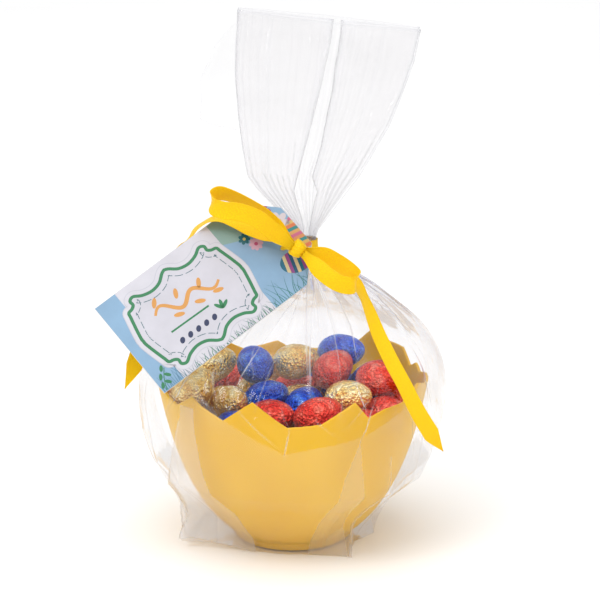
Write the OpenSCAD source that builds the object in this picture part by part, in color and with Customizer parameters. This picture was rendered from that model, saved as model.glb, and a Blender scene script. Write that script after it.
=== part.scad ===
// Gift-wrapped eggshell bowl: a moulded bowl with a jagged rim, filled with foil-wrapped
// chocolate eggs, in a gusseted clear film bag that is gathered, tied with a satin bow and
// hung with a card tag. Millimetres, +Z up, origin on the bowl's axis at table level,
// front of the gift towards -Y.

/* [Bowl] */
// Radius of the bowl at its rim peaks
bowl_rim_r = 81.5; // [81:0.1:82]
// Height of the uncut bowl
bowl_h = 107; // [106:0.5:108]
// Wall of the bowl
bowl_wall = 1.8; // [1.2:0.1:2.4]
// Outer radius of the foot ring
foot_r = 35; // [33:0.5:36]

/* [Eggs] */
// Diameter of a wrapped egg
egg_d = 21; // [18:0.1:21.2]
// Length of a wrapped egg
egg_l = 29; // [24:0.5:29.5]
// Thickness of the pleated foil
foil_t = 0.25; // [0.15:0.05:0.4]

/* [Film bag] */
// Thickness of the film panels
film_t = 0.6; // [0.4:0.1:0.7]
// Turn of the bag's folded base about the bowl's axis
bag_yaw = -12; // [-20:1:0]
// Radius of the gathered film at the tie
neck_r = 6; // [5:0.1:6]

/* [Ribbon] */
// Width of the satin ribbon
ribbon_w = 10; // [8:0.5:10]
// Thickness of the satin ribbon
ribbon_t = 0.5; // [0.3:0.05:0.6]

/* [Tag] */
// Length of the card tag
tag_l = 120; // [100:1:122]
// Width of the card tag
tag_w = 64; // [56:1:65]
// Length of the two cut corners along each edge
tag_cut = 18; // [10:1:20]
// Thickness of the card
tag_t = 0.6; // [0.4:0.1:0.8]
// Radius of the punched hole
tag_hole_r = 3.4; // [3:0.1:4]

/* [Hidden] */
$fn = 64;

// ---- bowl ----
bowl_foot_h = 5.5;
bowl_floor_z = 7.5;
// Control points of the outer wall, foot to rim, as [radius, height]
bowl_ctrl = [[38, 6], [58, 22], [72, 50], [bowl_rim_r, bowl_h]];
// The broken edge, anticlockwise from +X, as [angle, height]
rim_edge = [
    [-15, 99], [-5, 98], [5, 97], [14, 94], [20, 97], [25, 93.5], [33, 102], [44, 103], [54, 106],
    [60, 98], [79, 91.5], [91, 91], [97, 96], [104, 94], [112, 92], [128, 103], [145, 91],
    [160, 104], [178, 92], [192, 101], [205, 95], [213, 93], [225, 102], [229, 98], [240, 91.5],
    [254, 105.5], [261, 97.5], [268, 90.5], [282, 92], [289, 98], [296, 103.5], [303, 92.5],
    [311, 95.5], [323, 96], [333, 104], [345, 99]
];

// ---- eggs ----
foil_gap = 0.1;
egg_blunt = 0.12;
egg_step = 18;
// Loose eggs on top, as [x, y, z, turn about Z, tilt from upright]
lift_blue_front = [-22.5, 4.5, 103, 110, 80];
lift_gold_middle = [2, 16, 101, 15, 85];
lift_blue_back = [29, 28.5, 103.5, -15, 80];
lift_red_middle = [24, 4.5, 100, 50, 70];
lift_red_right = [51, -12, 99.5, -10, 80];
lift_gold_left = [-47, 12, 100.5, 20, 75];
// Settled eggs that show between them
seat_blue_left = [-15.5, -14.5, 87.5, 30, 75];
seat_gold_middle = [4.5, 1.5, 80.5, 0, 80];
seat_blue_middle = [7, -22, 86, 60, 80];
seat_red_centre = [31.5, -9.5, 80.5, 20, 80];
seat_red_front_left = [-12.5, -40.5, 84.5, -20, 75];
seat_red_front = [14.5, -48, 88, 10, 70];
seat_gold_right = [32, -29.5, 92.5, -20, 75];
seat_red_right = [54.5, -26.5, 82, -40, 80];
seat_gold_rim = [-57, -28, 97.5, 30, 50];
seat_gold_front = [-36.5, -28.5, 89, -60, 60];
seat_gold_far_left = [-63.5, -7, 86.5, 80, 75];
seat_blue_right = [45.5, 13.5, 89, 60, 85];
seats = [
    seat_blue_left, seat_gold_middle, seat_blue_middle, seat_red_centre, seat_red_front_left,
    seat_red_front, seat_gold_right, seat_red_right, seat_gold_rim, seat_gold_front,
    seat_gold_far_left, seat_blue_right
];
// Eggs of the same layer that are hidden from the front
hidden_layer = [
    [-20.5, 14, 82, 0, 90], [2.5, 29.5, 79.5, 0, 90], [28.5, 27.5, 81, 70, 90],
    [-41.5, -1.5, 80.5, 90, 90], [-41, 43, 82, 40, 90], [11.5, 62, 81, 0, 90],
    [49.2, 39.8, 82, -50, 90], [63, -1, 82, -80, 90], [-59.6, 20.5, 82, 70, 90],
    [-17.3, 61, 82, 18, 90], [40.8, -47.6, 81, 40, 90], [-31.5, -54.5, 81.5, -40, 90]
];
// Lower layers lie in rings, as [height, ring radius, count, first angle]
fill_rings = [
    [18.7, 32.3, 6, 0], [18.7, 10.8, 2, 0], [39, 47.6, 10, 10], [39, 26, 5, 20],
    [60, 57, 11, 5], [60, 35.4, 7, 10], [60, 13, 2, 40]
];
fill_split_z = 50;
fill_eggs = [
    for (ring = fill_rings)
        for (i = [0 : ring[2] - 1])
            let (a = ring[3] + 360 * i / ring[2])
                [ring[1] * cos(a), ring[1] * sin(a), ring[0], a + 90, 90]
];
upper_fill = concat(hidden_layer, [for (e = fill_eggs) if (e[2] >= fill_split_z) e]);
lower_fill = [for (e = fill_eggs) if (e[2] < fill_split_z) e];

// ---- film ----
// Levels of the film from the table up, as [height, centre x, half width, half depth, squareness]
bag_levels = [
    [0, -3, 58, 42, 4.5], [12, -2, 65, 53, 3.6], [24, -1, 71, 64, 3], [40, 0, 78, 74, 2.4],
    [60, 0, 86, 80, 2.1], [78, 0, 90, 83.5, 2], [94, 0, 91, 85.5, 2], [108, 0, 88.5, 84, 2],
    [118, 1, 85, 73, 2], [130, 2, 77, 57, 2], [142, 4, 61, 43, 2], [154, 6, 43, 29, 2],
    [164, 7, 25, 17, 2], [171, 8, neck_r + 1, neck_r + 1, 2]
];
tuft_levels = [
    [182.6, 8, neck_r, 5, 2], [190, 8, 12, 6.5, 2], [200, 7, 19, 8, 2], [215, 6, 32, 10, 2],
    [232, 9, 38, 13, 2.2], [250, 12, 43, 16, 2.4], [280, 17, 49, 19, 2.6], [303, 20, 51, 21, 2.6]
];
// Slope of the bag's cut top edge, falling to the right
mouth_slope = 0.12;
// Angles of the four creases, seen from above
crease_fr = 311;
crease_br = 25;
crease_bl = 131;
crease_fl = 205;
neck_x = 8;
neck_z0 = 171;
neck_z1 = 180.4;
// Outline of the folded-out corner of the bag's mouth, as [x, z]
flap_outline = [
    [-31.8, 301], [-36, 299], [-43, 289], [-50, 274], [-52, 250], [-31.2, 244], [-32.2, 262],
    [-32.8, 282]
];
flap_y = -1.5;

// ---- ribbon ----
// Routes run from the knot outwards, as [x, y, z, width direction x, y, z]
loop_left_route = [
    [-1.5, -33, 186, 0.57, 0, 0.82], [-6.5, -33, 191, 0.57, 0, 0.82],
    [-15, -33, 200.5, 0.5, -0.4, 0.75], [-24, -34, 207.5, 0.4, -0.6, 0.65],
    [-33, -36, 212.5, 0.25, -0.6, 0.75], [-41, -38.5, 215, 0.1, -0.4, 0.9],
    [-45, -42.5, 213, 0.05, -0.1, 1], [-43.5, -47, 209.5, 0.1, 0, 1], [-38, -49, 208, 0.1, 0, 1],
    [-29, -49.5, 207, 0.2, 0, 1], [-19.5, -48, 203, 0.4, 0, 0.9], [-12, -44.5, 196, 0.55, 0, 0.83],
    [-5, -39.5, 189, 0.57, 0, 0.82], [-1.5, -36.5, 186, 0.57, 0, 0.82]
];
loop_right_route = [
    [8, -33, 179, 0.57, 0, 0.82], [17, -37, 179.5, 0.5, 0, 0.85], [25, -40, 176, 0.55, 0, 0.83],
    [31.5, -43, 172, 0.5, 0.1, 0.85], [35.5, -46.5, 168.5, 0.3, 0.1, 0.95],
    [34, -50.5, 165.5, 0.15, 0.1, 1], [28, -51.5, 166, 0.3, 0, 0.95], [21.5, -50, 169, 0.5, 0, 0.87],
    [15, -45.5, 173.5, 0.57, 0, 0.82], [8, -36.5, 179, 0.57, 0, 0.82]
];
tail_left_route = [
    [-7, -27.5, 187, 0.56, 0.47, 0.68], [-14.5, -25, 189, 0.56, 0.47, 0.68],
    [-24, -22.5, 192, 0.56, 0.5, 0.66], [-32, -20.5, 195.5, 0.45, 0.65, 0.6],
    [-39.5, -19, 197, 0.3, 0.85, 0.3], [-46.5, -17, 195.5, 0.15, 1, 0.1],
    [-52.5, -15, 191.5, 0, 1, 0], [-58, -12.5, 185.5, -0.1, 0.9, 0],
    [-63, -11.5, 178.5, 0.3, 0.8, -0.3], [-70, -15, 167, 0.7, 0.6, -0.35],
    [-77, -22, 153, 0.9, 0.4, -0.25], [-84, -31, 135, 0.9, 0.3, -0.3],
    [-89, -40, 118, 0.9, 0.3, -0.3], [-95, -48, 104, 0.9, 0.3, -0.3]
];
tail_right_route = [
    [13.5, -30, 174, 0.5, 0, 0.8], [23, -30, 170, 0.5, 0.2, 0.75], [29.5, -32, 166, 0.5, 0.6, 0.6],
    [36, -36, 162, 0.35, 0.85, 0.3], [40, -40, 156, 0.35, 0.9, 0.1],
    [43.5, -44, 148.5, 0.5, 0.8, 0.1], [48.5, -51, 136.5, 0.7, 0.65, 0.12],
    [55.5, -58, 123, 0.8, 0.6, 0.15], [62, -63.5, 112, 0.8, 0.6, 0.15],
    [69.5, -66.5, 97.5, 0.85, 0.55, 0.2], [78, -66, 83, 0.9, 0.5, 0.3], [85, -62, 71.5, 0.8, 0.4, 0.4]
];
knot_pos = [3, -34.5, 182.5];
knot_r = 4.2;
knot_len = 9;
route_steps = 3;

// ---- tag ----
tag_hole_pos = [-5.5, -25.5, 178.8];
tag_lean = 55;
tag_turn = 39;
// From the hole to the near end of the card, and from the card's centre line
hole_to_end = 16;
hole_off = 7.5;

// Point at t on a cubic curve with four control points
function bezier(c, t) =
    pow(1 - t, 3) * c[0] + 3 * pow(1 - t, 2) * t * c[1] + 3 * (1 - t) * t * t * c[2]
    + pow(t, 3) * c[3];

// Point at t on the smooth route through b and c, with neighbours a and d
function through(a, b, c, d, t) =
    0.5 * (2 * b + (c - a) * t + (2 * a - 5 * b + 4 * c - d) * t * t
    + (3 * b - a - 3 * c + d) * t * t * t);

function smooth_route(p, n) = [
    for (i = [0 : len(p) - 2])
        for (k = [0 : n - 1])
            through(p[max(i - 1, 0)], p[i], p[i + 1], p[min(i + 2, len(p) - 1)], k / n),
    p[len(p) - 1]
];

function unit(v) = v / norm(v);

// Radius of a rounded rectangle of half sizes hx and hy at angle a
function ring_r(hx, hy, e, a) =
    pow(pow(abs(cos(a)) / hx, e) + pow(abs(sin(a)) / hy, e), -1 / e);

// Point on a film level at angle a, drawn in from the outside by d
function film_point(lv, a, d, slope) =
    let (r = ring_r(lv[2], lv[3], lv[4], a - bag_yaw) - d)
        [lv[1] + r * cos(a), r * sin(a), lv[0] - slope * r * cos(a)];

// Half of an egg's outline from its blunt end, drawn in by d
function egg_outline(d) = [
    for (t = [0 : egg_step : 180])
        [
            max(0, (egg_d / 2 - d) * sin(t) * (1 + egg_blunt * cos(t))),
            -(egg_l / 2 - d) * cos(t)
        ]
];

function reversed(list) = [for (i = [len(list) - 1 : -1 : 0]) list[i]];

module bowl() {
    outer = [for (t = [0 : 1 / 14 : 1.001]) bezier(bowl_ctrl, t)];
    inner = [
        for (p = outer) [p[0] - bowl_wall, min(p[1] + bowl_wall * (1 - p[1] / bowl_h), bowl_h)]
    ];
    section = concat(
        [[0, 5], [foot_r - 3, 5], [foot_r - 3, 0.6], [foot_r, 0.6], [foot_r + 1, bowl_foot_h]],
        outer,
        reversed(inner),
        [[0, bowl_floor_z]]
    );
    color("gold")
    difference() {
        rotate_extrude($fn = 180) polygon(section);
        broken_edge();
    }
}

// Wedges above each straight run of the broken edge
module broken_edge() {
    cut_r = 84;
    cut_top = 120;
    for (i = [0 : len(rim_edge) - 1]) {
        p = rim_edge[i];
        q = i < len(rim_edge) - 1 ? rim_edge[i + 1] : rim_edge[0] + [360, 0];
        half = cut_r * tan((q[0] - p[0]) / 2);
        rotate([0, 0, (p[0] + q[0]) / 2])
        translate([cut_r, 0, 0])
        rotate([90, 0, -90])
        linear_extrude(height = 30)
        polygon([[half, p[1]], [-half, q[1]], [-half, cut_top], [half, cut_top]]);
    }
}

// One panel of film between two creases, inside and outside faces joined at its edges
module film_panel(levels, a0, a1, steps, slope_top) {
    n = steps + 1;
    last = len(levels) - 1;
    outer = [
        for (j = [0 : last])
            for (i = [0 : steps])
                film_point(levels[j], a0 + (a1 - a0) * i / steps, 0, j == last ? slope_top : 0)
    ];
    inner = [
        for (j = [0 : last])
            for (i = [0 : steps])
                film_point(levels[j], a0 + (a1 - a0) * i / steps, film_t, j == last ? slope_top : 0)
    ];
    m = n * (last + 1);
    skin = [
        for (j = [0 : last - 1])
            for (i = [0 : steps - 1])
                [j * n + i, (j + 1) * n + i, (j + 1) * n + i + 1, j * n + i + 1]
    ];
    back = [for (f = skin) [f[3] + m, f[2] + m, f[1] + m, f[0] + m]];
    bottom = [for (i = [0 : steps - 1]) [i, i + 1, i + 1 + m, i + m]];
    top = [for (i = [0 : steps - 1]) let (k = last * n + i) [k + 1, k, k + m, k + 1 + m]];
    left = [for (j = [0 : last - 1]) let (k = j * n) [k + n, k, k + m, k + n + m]];
    right = [for (j = [0 : last - 1]) let (k = j * n + steps) [k, k + n, k + n + m, k + m]];
    polyhedron(concat(outer, inner), concat(skin, back, bottom, top, left, right), convexity = 6);
}

module bag_panel(a0, a1) {
    color("whitesmoke", 0.4) film_panel(bag_levels, a0, a1, 12, 0);
}

module mouth_panel(a0, a1) {
    color("whitesmoke", 0.4) film_panel(tuft_levels, a0, a1, 8, mouth_slope);
}

// Folded base of the bag, inside the foot of the panels
module bag_base() {
    lv = bag_levels[0];
    color("gainsboro", 0.5)
    linear_extrude(height = film_t)
    polygon([for (a = [0 : 7.5 : 352.5]) let (p = film_point(lv, a, film_t + 0.4, 0)) [p[0], p[1]]]);
}

// Film gathered tight under the ribbon
module bag_neck() {
    flare = neck_r + 0.8;
    color("white", 0.6)
    translate([neck_x, 0, 0])
    rotate_extrude()
    polygon([
        [0, neck_z0], [flare, neck_z0], [neck_r, neck_z0 + 1.5], [neck_r, neck_z1 - 1],
        [neck_r - 0.6, neck_z1], [0, neck_z1]
    ]);
}

module mouth_flap() {
    color("whitesmoke", 0.4)
    translate([0, flap_y, 0])
    rotate([90, 0, 0])
    linear_extrude(height = film_t, center = true)
    polygon(flap_outline);
}

module ribbon_neck_wrap() {
    color("gold")
    translate([neck_x, 0, neck_z0 + 1.6])
    rotate_extrude()
    translate([neck_r + 0.1, 0])
    square([1.2, 7.5]);
}

// Flat ribbon swept along a route
module ribbon_strip(route, w, t) {
    p = smooth_route(route, route_steps);
    n = len(p);
    c = [for (q = p) [q[0], q[1], q[2]]];
    points = [
        for (i = [0 : n - 1])
            let (
                along = unit(c[min(i + 1, n - 1)] - c[max(i - 1, 0)]),
                raw = unit([p[i][3], p[i][4], p[i][5]]),
                side = unit(raw - (raw * along) * along),
                face = cross(along, side)
            )
                each [
                    c[i] + side * w / 2 + face * t / 2, c[i] - side * w / 2 + face * t / 2,
                    c[i] - side * w / 2 - face * t / 2, c[i] + side * w / 2 - face * t / 2
                ]
    ];
    sides = [
        for (i = [0 : n - 2])
            for (k = [0 : 3])
                let (a = 4 * i, b = 4 * i + 4, l = (k + 1) % 4)
                    [a + k, b + k, b + l, a + l]
    ];
    ends = [[0, 1, 2, 3], [4 * n - 1, 4 * n - 2, 4 * n - 3, 4 * n - 4]];
    polyhedron(points, concat(sides, ends), convexity = 6);
}

module ribbon(route) {
    color("gold") ribbon_strip(route, ribbon_w, ribbon_t);
}

// The crossing turn of ribbon that closes the bow
module ribbon_knot() {
    bulge = 0.8;
    color("gold")
    translate(knot_pos)
    rotate([0, 35, 0])
    rotate_extrude()
    polygon([
        [0, -knot_len / 2], [knot_r - bulge, -knot_len / 2], [knot_r, -knot_len / 4],
        [knot_r, knot_len / 4], [knot_r - bulge, knot_len / 2], [0, knot_len / 2]
    ]);
}

// Places a shape drawn flat in x and y on the leaning plane of the tag, with the hole at 0,0
module on_tag_plane() {
    translate(tag_hole_pos)
    rotate([tag_lean, 0, 0])
    rotate([0, 0, tag_turn])
    children();
}

module tag_card() {
    x1 = hole_to_end;
    x0 = x1 - tag_l;
    y1 = tag_w / 2 + hole_off;
    y0 = y1 - tag_w;
    color("lightsteelblue")
    on_tag_plane()
    difference() {
        translate([0, 0, -tag_t / 2])
        linear_extrude(height = tag_t)
        polygon([
            [x0, y0], [x1 - tag_cut, y0], [x1, y0 + tag_cut], [x1, y1 - tag_cut],
            [x1 - tag_cut, y1], [x0, y1]
        ]);
        cylinder(r = tag_hole_r, h = 4 * tag_t, center = true);
    }
}

// Ribbon bunched through the tag's hole
module tag_strand() {
    strand_r = 2.2;
    strand_l = 4;
    color("goldenrod")
    on_tag_plane()
    cylinder(r = strand_r, h = strand_l, center = true);
}

module place_egg(e) {
    translate([e[0], e[1], e[2]])
    rotate([0, e[4], e[3]])
    children();
}

module egg_foil(e) {
    place_egg(e)
    rotate_extrude($fn = 48)
    polygon(concat(egg_outline(0), reversed(egg_outline(foil_t))));
}

module egg_core(e) {
    place_egg(e)
    rotate_extrude($fn = 48)
    polygon(egg_outline(foil_t + foil_gap));
}

module blue_foil(e) {
    color("royalblue") egg_foil(e);
}

module gold_foil(e) {
    color("goldenrod") egg_foil(e);
}

module red_foil(e) {
    color("firebrick") egg_foil(e);
}

module chocolate(e) {
    color("saddlebrown") egg_core(e);
}

// Every third egg of a layer list, starting at k
function every_third(list, k) = [for (i = [k : 3 : len(list) - 1]) list[i]];

module gold_foils(list) {
    for (e = every_third(list, 0)) gold_foil(e);
}

module red_foils(list) {
    for (e = every_third(list, 1)) red_foil(e);
}

module blue_foils(list) {
    for (e = every_third(list, 2)) blue_foil(e);
}

module cores(list, k) {
    for (e = every_third(list, k)) chocolate(e);
}

module seat_cores() {
    for (e = seats) chocolate(e);
}

bowl();
bag_panel(crease_fl, crease_fr);  // bag_front_panel
bag_panel(crease_br, crease_bl);  // bag_back_panel
bag_panel(crease_bl, crease_fl);  // bag_left_gusset
bag_panel(crease_fr, crease_br + 360);  // bag_right_gusset
bag_base();
bag_neck();
mouth_panel(crease_fl, crease_fr);  // mouth_front_panel
mouth_panel(crease_br, crease_bl);  // mouth_back_panel
mouth_panel(crease_bl, crease_fl);  // mouth_left_gusset
mouth_panel(crease_fr, crease_br + 360);  // mouth_right_gusset
mouth_flap();
ribbon_neck_wrap();
ribbon_knot();
ribbon(loop_left_route);  // bow_loop_left
ribbon(loop_right_route);  // bow_loop_right
ribbon(tail_left_route);  // ribbon_tail_left
ribbon(tail_right_route);  // ribbon_tail_right
tag_card();
tag_strand();
blue_foil(lift_blue_front);  // blue_front_foil
chocolate(lift_blue_front);  // blue_front_core
gold_foil(lift_gold_middle);  // gold_middle_foil
chocolate(lift_gold_middle);  // gold_middle_core
blue_foil(lift_blue_back);  // blue_back_foil
chocolate(lift_blue_back);  // blue_back_core
red_foil(lift_red_middle);  // red_middle_foil
chocolate(lift_red_middle);  // red_middle_core
red_foil(lift_red_right);  // red_right_foil
chocolate(lift_red_right);  // red_right_core
gold_foil(lift_gold_left);  // gold_left_foil
chocolate(lift_gold_left);  // gold_left_core
blue_foil(seat_blue_left);  // seat_blue_left_foil
gold_foil(seat_gold_middle);  // seat_gold_middle_foil
blue_foil(seat_blue_middle);  // seat_blue_middle_foil
red_foil(seat_red_centre);  // seat_red_centre_foil
red_foil(seat_red_front_left);  // seat_red_front_left_foil
red_foil(seat_red_front);  // seat_red_front_foil
gold_foil(seat_gold_right);  // seat_gold_right_foil
red_foil(seat_red_right);  // seat_red_right_foil
gold_foil(seat_gold_rim);  // seat_gold_rim_foil
gold_foil(seat_gold_front);  // seat_gold_front_foil
gold_foil(seat_gold_far_left);  // seat_gold_far_left_foil
blue_foil(seat_blue_right);  // seat_blue_right_foil
seat_cores();
gold_foils(upper_fill);  // upper_gold_foils
cores(upper_fill, 0);  // upper_gold_cores
red_foils(upper_fill);  // upper_red_foils
cores(upper_fill, 1);  // upper_red_cores
blue_foils(upper_fill);  // upper_blue_foils
cores(upper_fill, 2);  // upper_blue_cores
gold_foils(lower_fill);  // lower_gold_foils
cores(lower_fill, 0);  // lower_gold_cores
red_foils(lower_fill);  // lower_red_foils
cores(lower_fill, 1);  // lower_red_cores
blue_foils(lower_fill);  // lower_blue_foils
cores(lower_fill, 2);  // lower_blue_cores
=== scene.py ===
"""Looks for a gift-wrapped eggshell bowl of foil eggs in a tied film bag, built in mesh code.

Lengths below are in millimetres in the CAD model's frame (+Z up, front towards -Y) and are
turned into metres as each mesh is made.
"""

import math

import bmesh
import bpy
import numpy as np
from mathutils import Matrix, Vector


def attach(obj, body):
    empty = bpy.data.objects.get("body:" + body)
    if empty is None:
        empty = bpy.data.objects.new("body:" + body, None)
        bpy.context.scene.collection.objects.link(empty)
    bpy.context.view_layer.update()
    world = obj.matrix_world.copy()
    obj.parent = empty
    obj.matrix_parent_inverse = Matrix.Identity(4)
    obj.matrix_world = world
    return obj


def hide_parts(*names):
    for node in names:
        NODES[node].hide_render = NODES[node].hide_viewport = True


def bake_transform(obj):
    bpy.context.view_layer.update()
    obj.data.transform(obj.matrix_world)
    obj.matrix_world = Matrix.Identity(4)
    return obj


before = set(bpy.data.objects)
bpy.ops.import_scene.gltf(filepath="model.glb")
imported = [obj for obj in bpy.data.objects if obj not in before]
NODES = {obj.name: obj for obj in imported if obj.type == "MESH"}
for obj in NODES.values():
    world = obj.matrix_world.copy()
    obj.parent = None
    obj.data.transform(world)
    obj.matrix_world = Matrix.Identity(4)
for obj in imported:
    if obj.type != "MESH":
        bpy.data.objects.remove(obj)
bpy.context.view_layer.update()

MM = 0.001


# ---------------------------------------------------------------- mesh helpers
def make_object(name, verts, faces, materials, smooth=True, face_slots=None):
    """A mesh object from points in millimetres."""
    mesh = bpy.data.meshes.new(name)
    mesh.from_pydata((np.asarray(verts, float) * MM).tolist(), [], faces)
    for m in materials:
        mesh.materials.append(m)
    if face_slots is not None:
        mesh.polygons.foreach_set("material_index", np.asarray(face_slots, np.int32))
    mesh.polygons.foreach_set("use_smooth", [smooth] * len(mesh.polygons))
    mesh.validate()
    mesh.update()
    obj = bpy.data.objects.new(name, mesh)
    bpy.context.scene.collection.objects.link(obj)
    return obj


def set_attribute(obj, name, values):
    a = obj.data.attributes.new(name, "FLOAT", "POINT")
    a.data.foreach_set("value", np.asarray(values, np.float32).ravel())


def grid_faces(rows, cols, wrap, first=0):
    """Quads of a grid of rows x cols points, joined round if wrap."""
    faces = []
    span = cols if wrap else cols - 1
    for j in range(rows - 1):
        a = first + j * cols
        b = a + cols
        for i in range(span):
            k = (i + 1) % cols
            faces.append((a + i, a + k, b + k, b + i))
    return faces


def fan_faces(around, rows, low, high):
    """Triangles that close a tube's first ring to point low and its last ring to point high."""
    faces = []
    last = (rows - 1) * around
    for i in range(around):
        k = (i + 1) % around
        faces.append((low, k, i))
        faces.append((high, last + i, last + k))
    return faces


def closed_tube(points, around, rows):
    """Faces of a tube of rings whose last two points are its two ends' middles."""
    return grid_faces(rows, around, True) + fan_faces(around, rows, len(points) - 2, len(points) - 1)


def set_uv(obj, uv):
    """A UV map from one pair per vertex."""
    layer = obj.data.uv_layers.new(name="UVMap")
    loops = np.zeros(len(obj.data.loops), np.int32)
    obj.data.loops.foreach_get("vertex_index", loops)
    layer.data.foreach_set("uv", uv[loops].astype(np.float32).ravel())


def unit_rows(vectors):
    return vectors / np.linalg.norm(vectors, axis=1)[:, None]


def smoothstep(lo, hi, x):
    t = np.clip((np.asarray(x, float) - lo) / (hi - lo), 0, 1)
    return t * t * (3 - 2 * t)


def catmull(points, n):
    """A smooth curve through the points, with n steps between each two."""
    p = np.asarray(points, float)
    p = np.vstack([2 * p[0] - p[1], p, 2 * p[-1] - p[-2]])
    out = []
    for i in range(1, len(p) - 2):
        for t in np.arange(n) / n:
            a, b, c, d = p[i - 1], p[i], p[i + 1], p[i + 2]
            out.append(
                0.5 * (2 * b + (c - a) * t + (2 * a - 5 * b + 4 * c - d) * t * t
                       + (3 * b - a - 3 * c + d) * t ** 3)
            )
    out.append(p[-2])
    return np.array(out)


def fold_wave(x):
    """Triangle wave between 0 and 1 with period 1."""
    return np.abs(2 * (x - np.floor(x)) - 1)


def crumple(points, seed, size, count=7):
    """Sum of folded waves in seeded directions, about -1 to 1, for crumpled foil and film."""
    rng = np.random.default_rng(seed)
    total = np.zeros(len(points))
    for _ in range(count):
        d = rng.normal(size=3)
        d /= np.linalg.norm(d)
        bend = 0.25 * np.sin(points @ rng.normal(size=3) / size + rng.uniform(0, 6.3))
        total += fold_wave(points @ d / (size * rng.uniform(0.8, 1.5)) + rng.uniform() + bend) - 0.5
    return total / math.sqrt(count) * 1.2


# ---------------------------------------------------------------- materials
class Nodes:
    """Short way to build a material's node tree."""

    def __init__(self, name):
        self.mat = bpy.data.materials.new(name)
        self.mat.use_nodes = True
        self.tree = self.mat.node_tree
        self.tree.nodes.clear()
        self.out = self.tree.nodes.new("ShaderNodeOutputMaterial")

    def add(self, kind, **values):
        node = self.tree.nodes.new("ShaderNode" + kind)
        for key, value in values.items():
            if hasattr(node, key):
                setattr(node, key, value)
            else:
                node.inputs[key.replace("_", " ")].default_value = value
        return node

    def link(self, a, out, b, into):
        self.tree.links.new(a.outputs[out], b.inputs[into])

    def surface(self, shader):
        self.tree.links.new(shader.outputs[0], self.out.inputs["Surface"])
        return self.mat

    def ramp(self, source, out, stops):
        node = self.tree.nodes.new("ShaderNodeValToRGB")
        band = node.color_ramp
        while len(band.elements) < len(stops):
            band.elements.new(0.5)
        for e, (at, colour) in zip(band.elements, stops):
            e.position = at
            e.color = (*colour, 1)
        self.tree.links.new(source.outputs[out], node.inputs["Fac"])
        return node

    def map_objects(self, *textures):
        """Lays textures out in the object's own space."""
        where = self.add("TexCoord")
        for texture in textures:
            self.link(where, "Object", texture, "Vector")

    def roughness(self, source, low, high):
        node = self.add("MapRange", To_Min=low, To_Max=high)
        self.link(source, "Fac", node, "Value")
        return node

    def principled(self, tint, rough, bump, **values):
        node = self.add("BsdfPrincipled", **values)
        self.link(tint, "Color", node, "Base Color")
        self.link(rough, "Result", node, "Roughness")
        self.link(bump, "Normal", node, "Normal")
        return node

    def mix(self, share, first, second):
        """Two shaders mixed by a fixed share or by a node's output."""
        node = self.add("MixShader")
        if isinstance(share, float):
            node.inputs["Fac"].default_value = share
        else:
            self.link(*share, node, "Fac")
        self.link(first, 0, node, 1)
        self.link(second, 0, node, 2)
        return node

    def bump(self, source, out, strength, distance, under=None):
        node = self.add("Bump", Strength=strength, Distance=distance)
        self.link(source, out, node, "Height")
        if under is not None:
            self.link(under, "Normal", node, "Normal")
        return node


def srgb(r, g, b):
    """A colour given as 0-255 screen values."""
    def f(c):
        c /= 255
        return c / 12.92 if c <= 0.04045 else ((c + 0.055) / 1.055) ** 2.4
    return (f(r), f(g), f(b))


def scaled(colour, k):
    return tuple(min(1.0, c * k) for c in colour)


def foil_material(name, base, dark, light, roughness):
    n = Nodes(name)
    cells = n.add("TexVoronoi", feature="F1", Scale=620.0)
    fine = n.add("TexNoise", Scale=1100.0, Detail=6.0, Roughness=0.65)
    wide = n.add("TexNoise", Scale=160.0, Detail=3.0, Roughness=0.5)
    n.map_objects(cells, fine, wide)
    tint = n.ramp(wide, "Fac", [(0.32, dark), (0.5, base), (0.7, light)])
    rough = n.add("MapRange", From_Min=0.3, From_Max=0.7,
                  To_Min=roughness * 0.8, To_Max=roughness * 1.35)
    n.link(fine, "Fac", rough, "Value")
    b1 = n.bump(cells, "Distance", 0.9, 0.0011)
    b2 = n.bump(fine, "Fac", 0.6, 0.0006, b1)
    return n.surface(n.principled(tint, rough, b2, Metallic=0.75))


def chocolate_material():
    n = Nodes("milk_chocolate")
    bloom = n.add("TexNoise", Scale=220.0, Detail=5.0, Roughness=0.6)
    n.map_objects(bloom)
    tint = n.ramp(bloom, "Fac", [(0.3, srgb(70, 38, 22)), (0.6, srgb(92, 52, 30)),
                                 (0.85, srgb(118, 78, 52))])
    rough = n.roughness(bloom, 0.28, 0.5)
    bump = n.bump(bloom, "Fac", 0.25, 0.0003)
    return n.surface(n.principled(tint, rough, bump, Subsurface_Weight=0.08,
                                  Subsurface_Radius=(0.004, 0.002, 0.001)))


def plastic_material():
    """Moulded yellow plastic, a little translucent, with a faint orange-peel surface."""
    n = Nodes("yellow_plastic")
    peel = n.add("TexNoise", Scale=700.0, Detail=3.0, Roughness=0.5)
    flow = n.add("TexNoise", Scale=22.0, Detail=2.0, Roughness=0.4)
    n.map_objects(peel, flow)
    tint = n.ramp(flow, "Fac", [(0.3, srgb(230, 177, 0)), (0.7, srgb(239, 189, 0))])
    rough = n.roughness(peel, 0.34, 0.46)
    bump = n.bump(peel, "Fac", 0.04, 0.0001)
    return n.surface(n.principled(tint, rough, bump, Subsurface_Weight=0.15,
                                  Subsurface_Radius=(0.006, 0.004, 0.0006),
                                  Specular_IOR_Level=0.4))


# colour of the white painted onto the film in place of light reflected from the bright surroundings
PAINTED_REFLECTION_WHITE = (0.80, 0.81, 0.86, 1)


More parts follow.
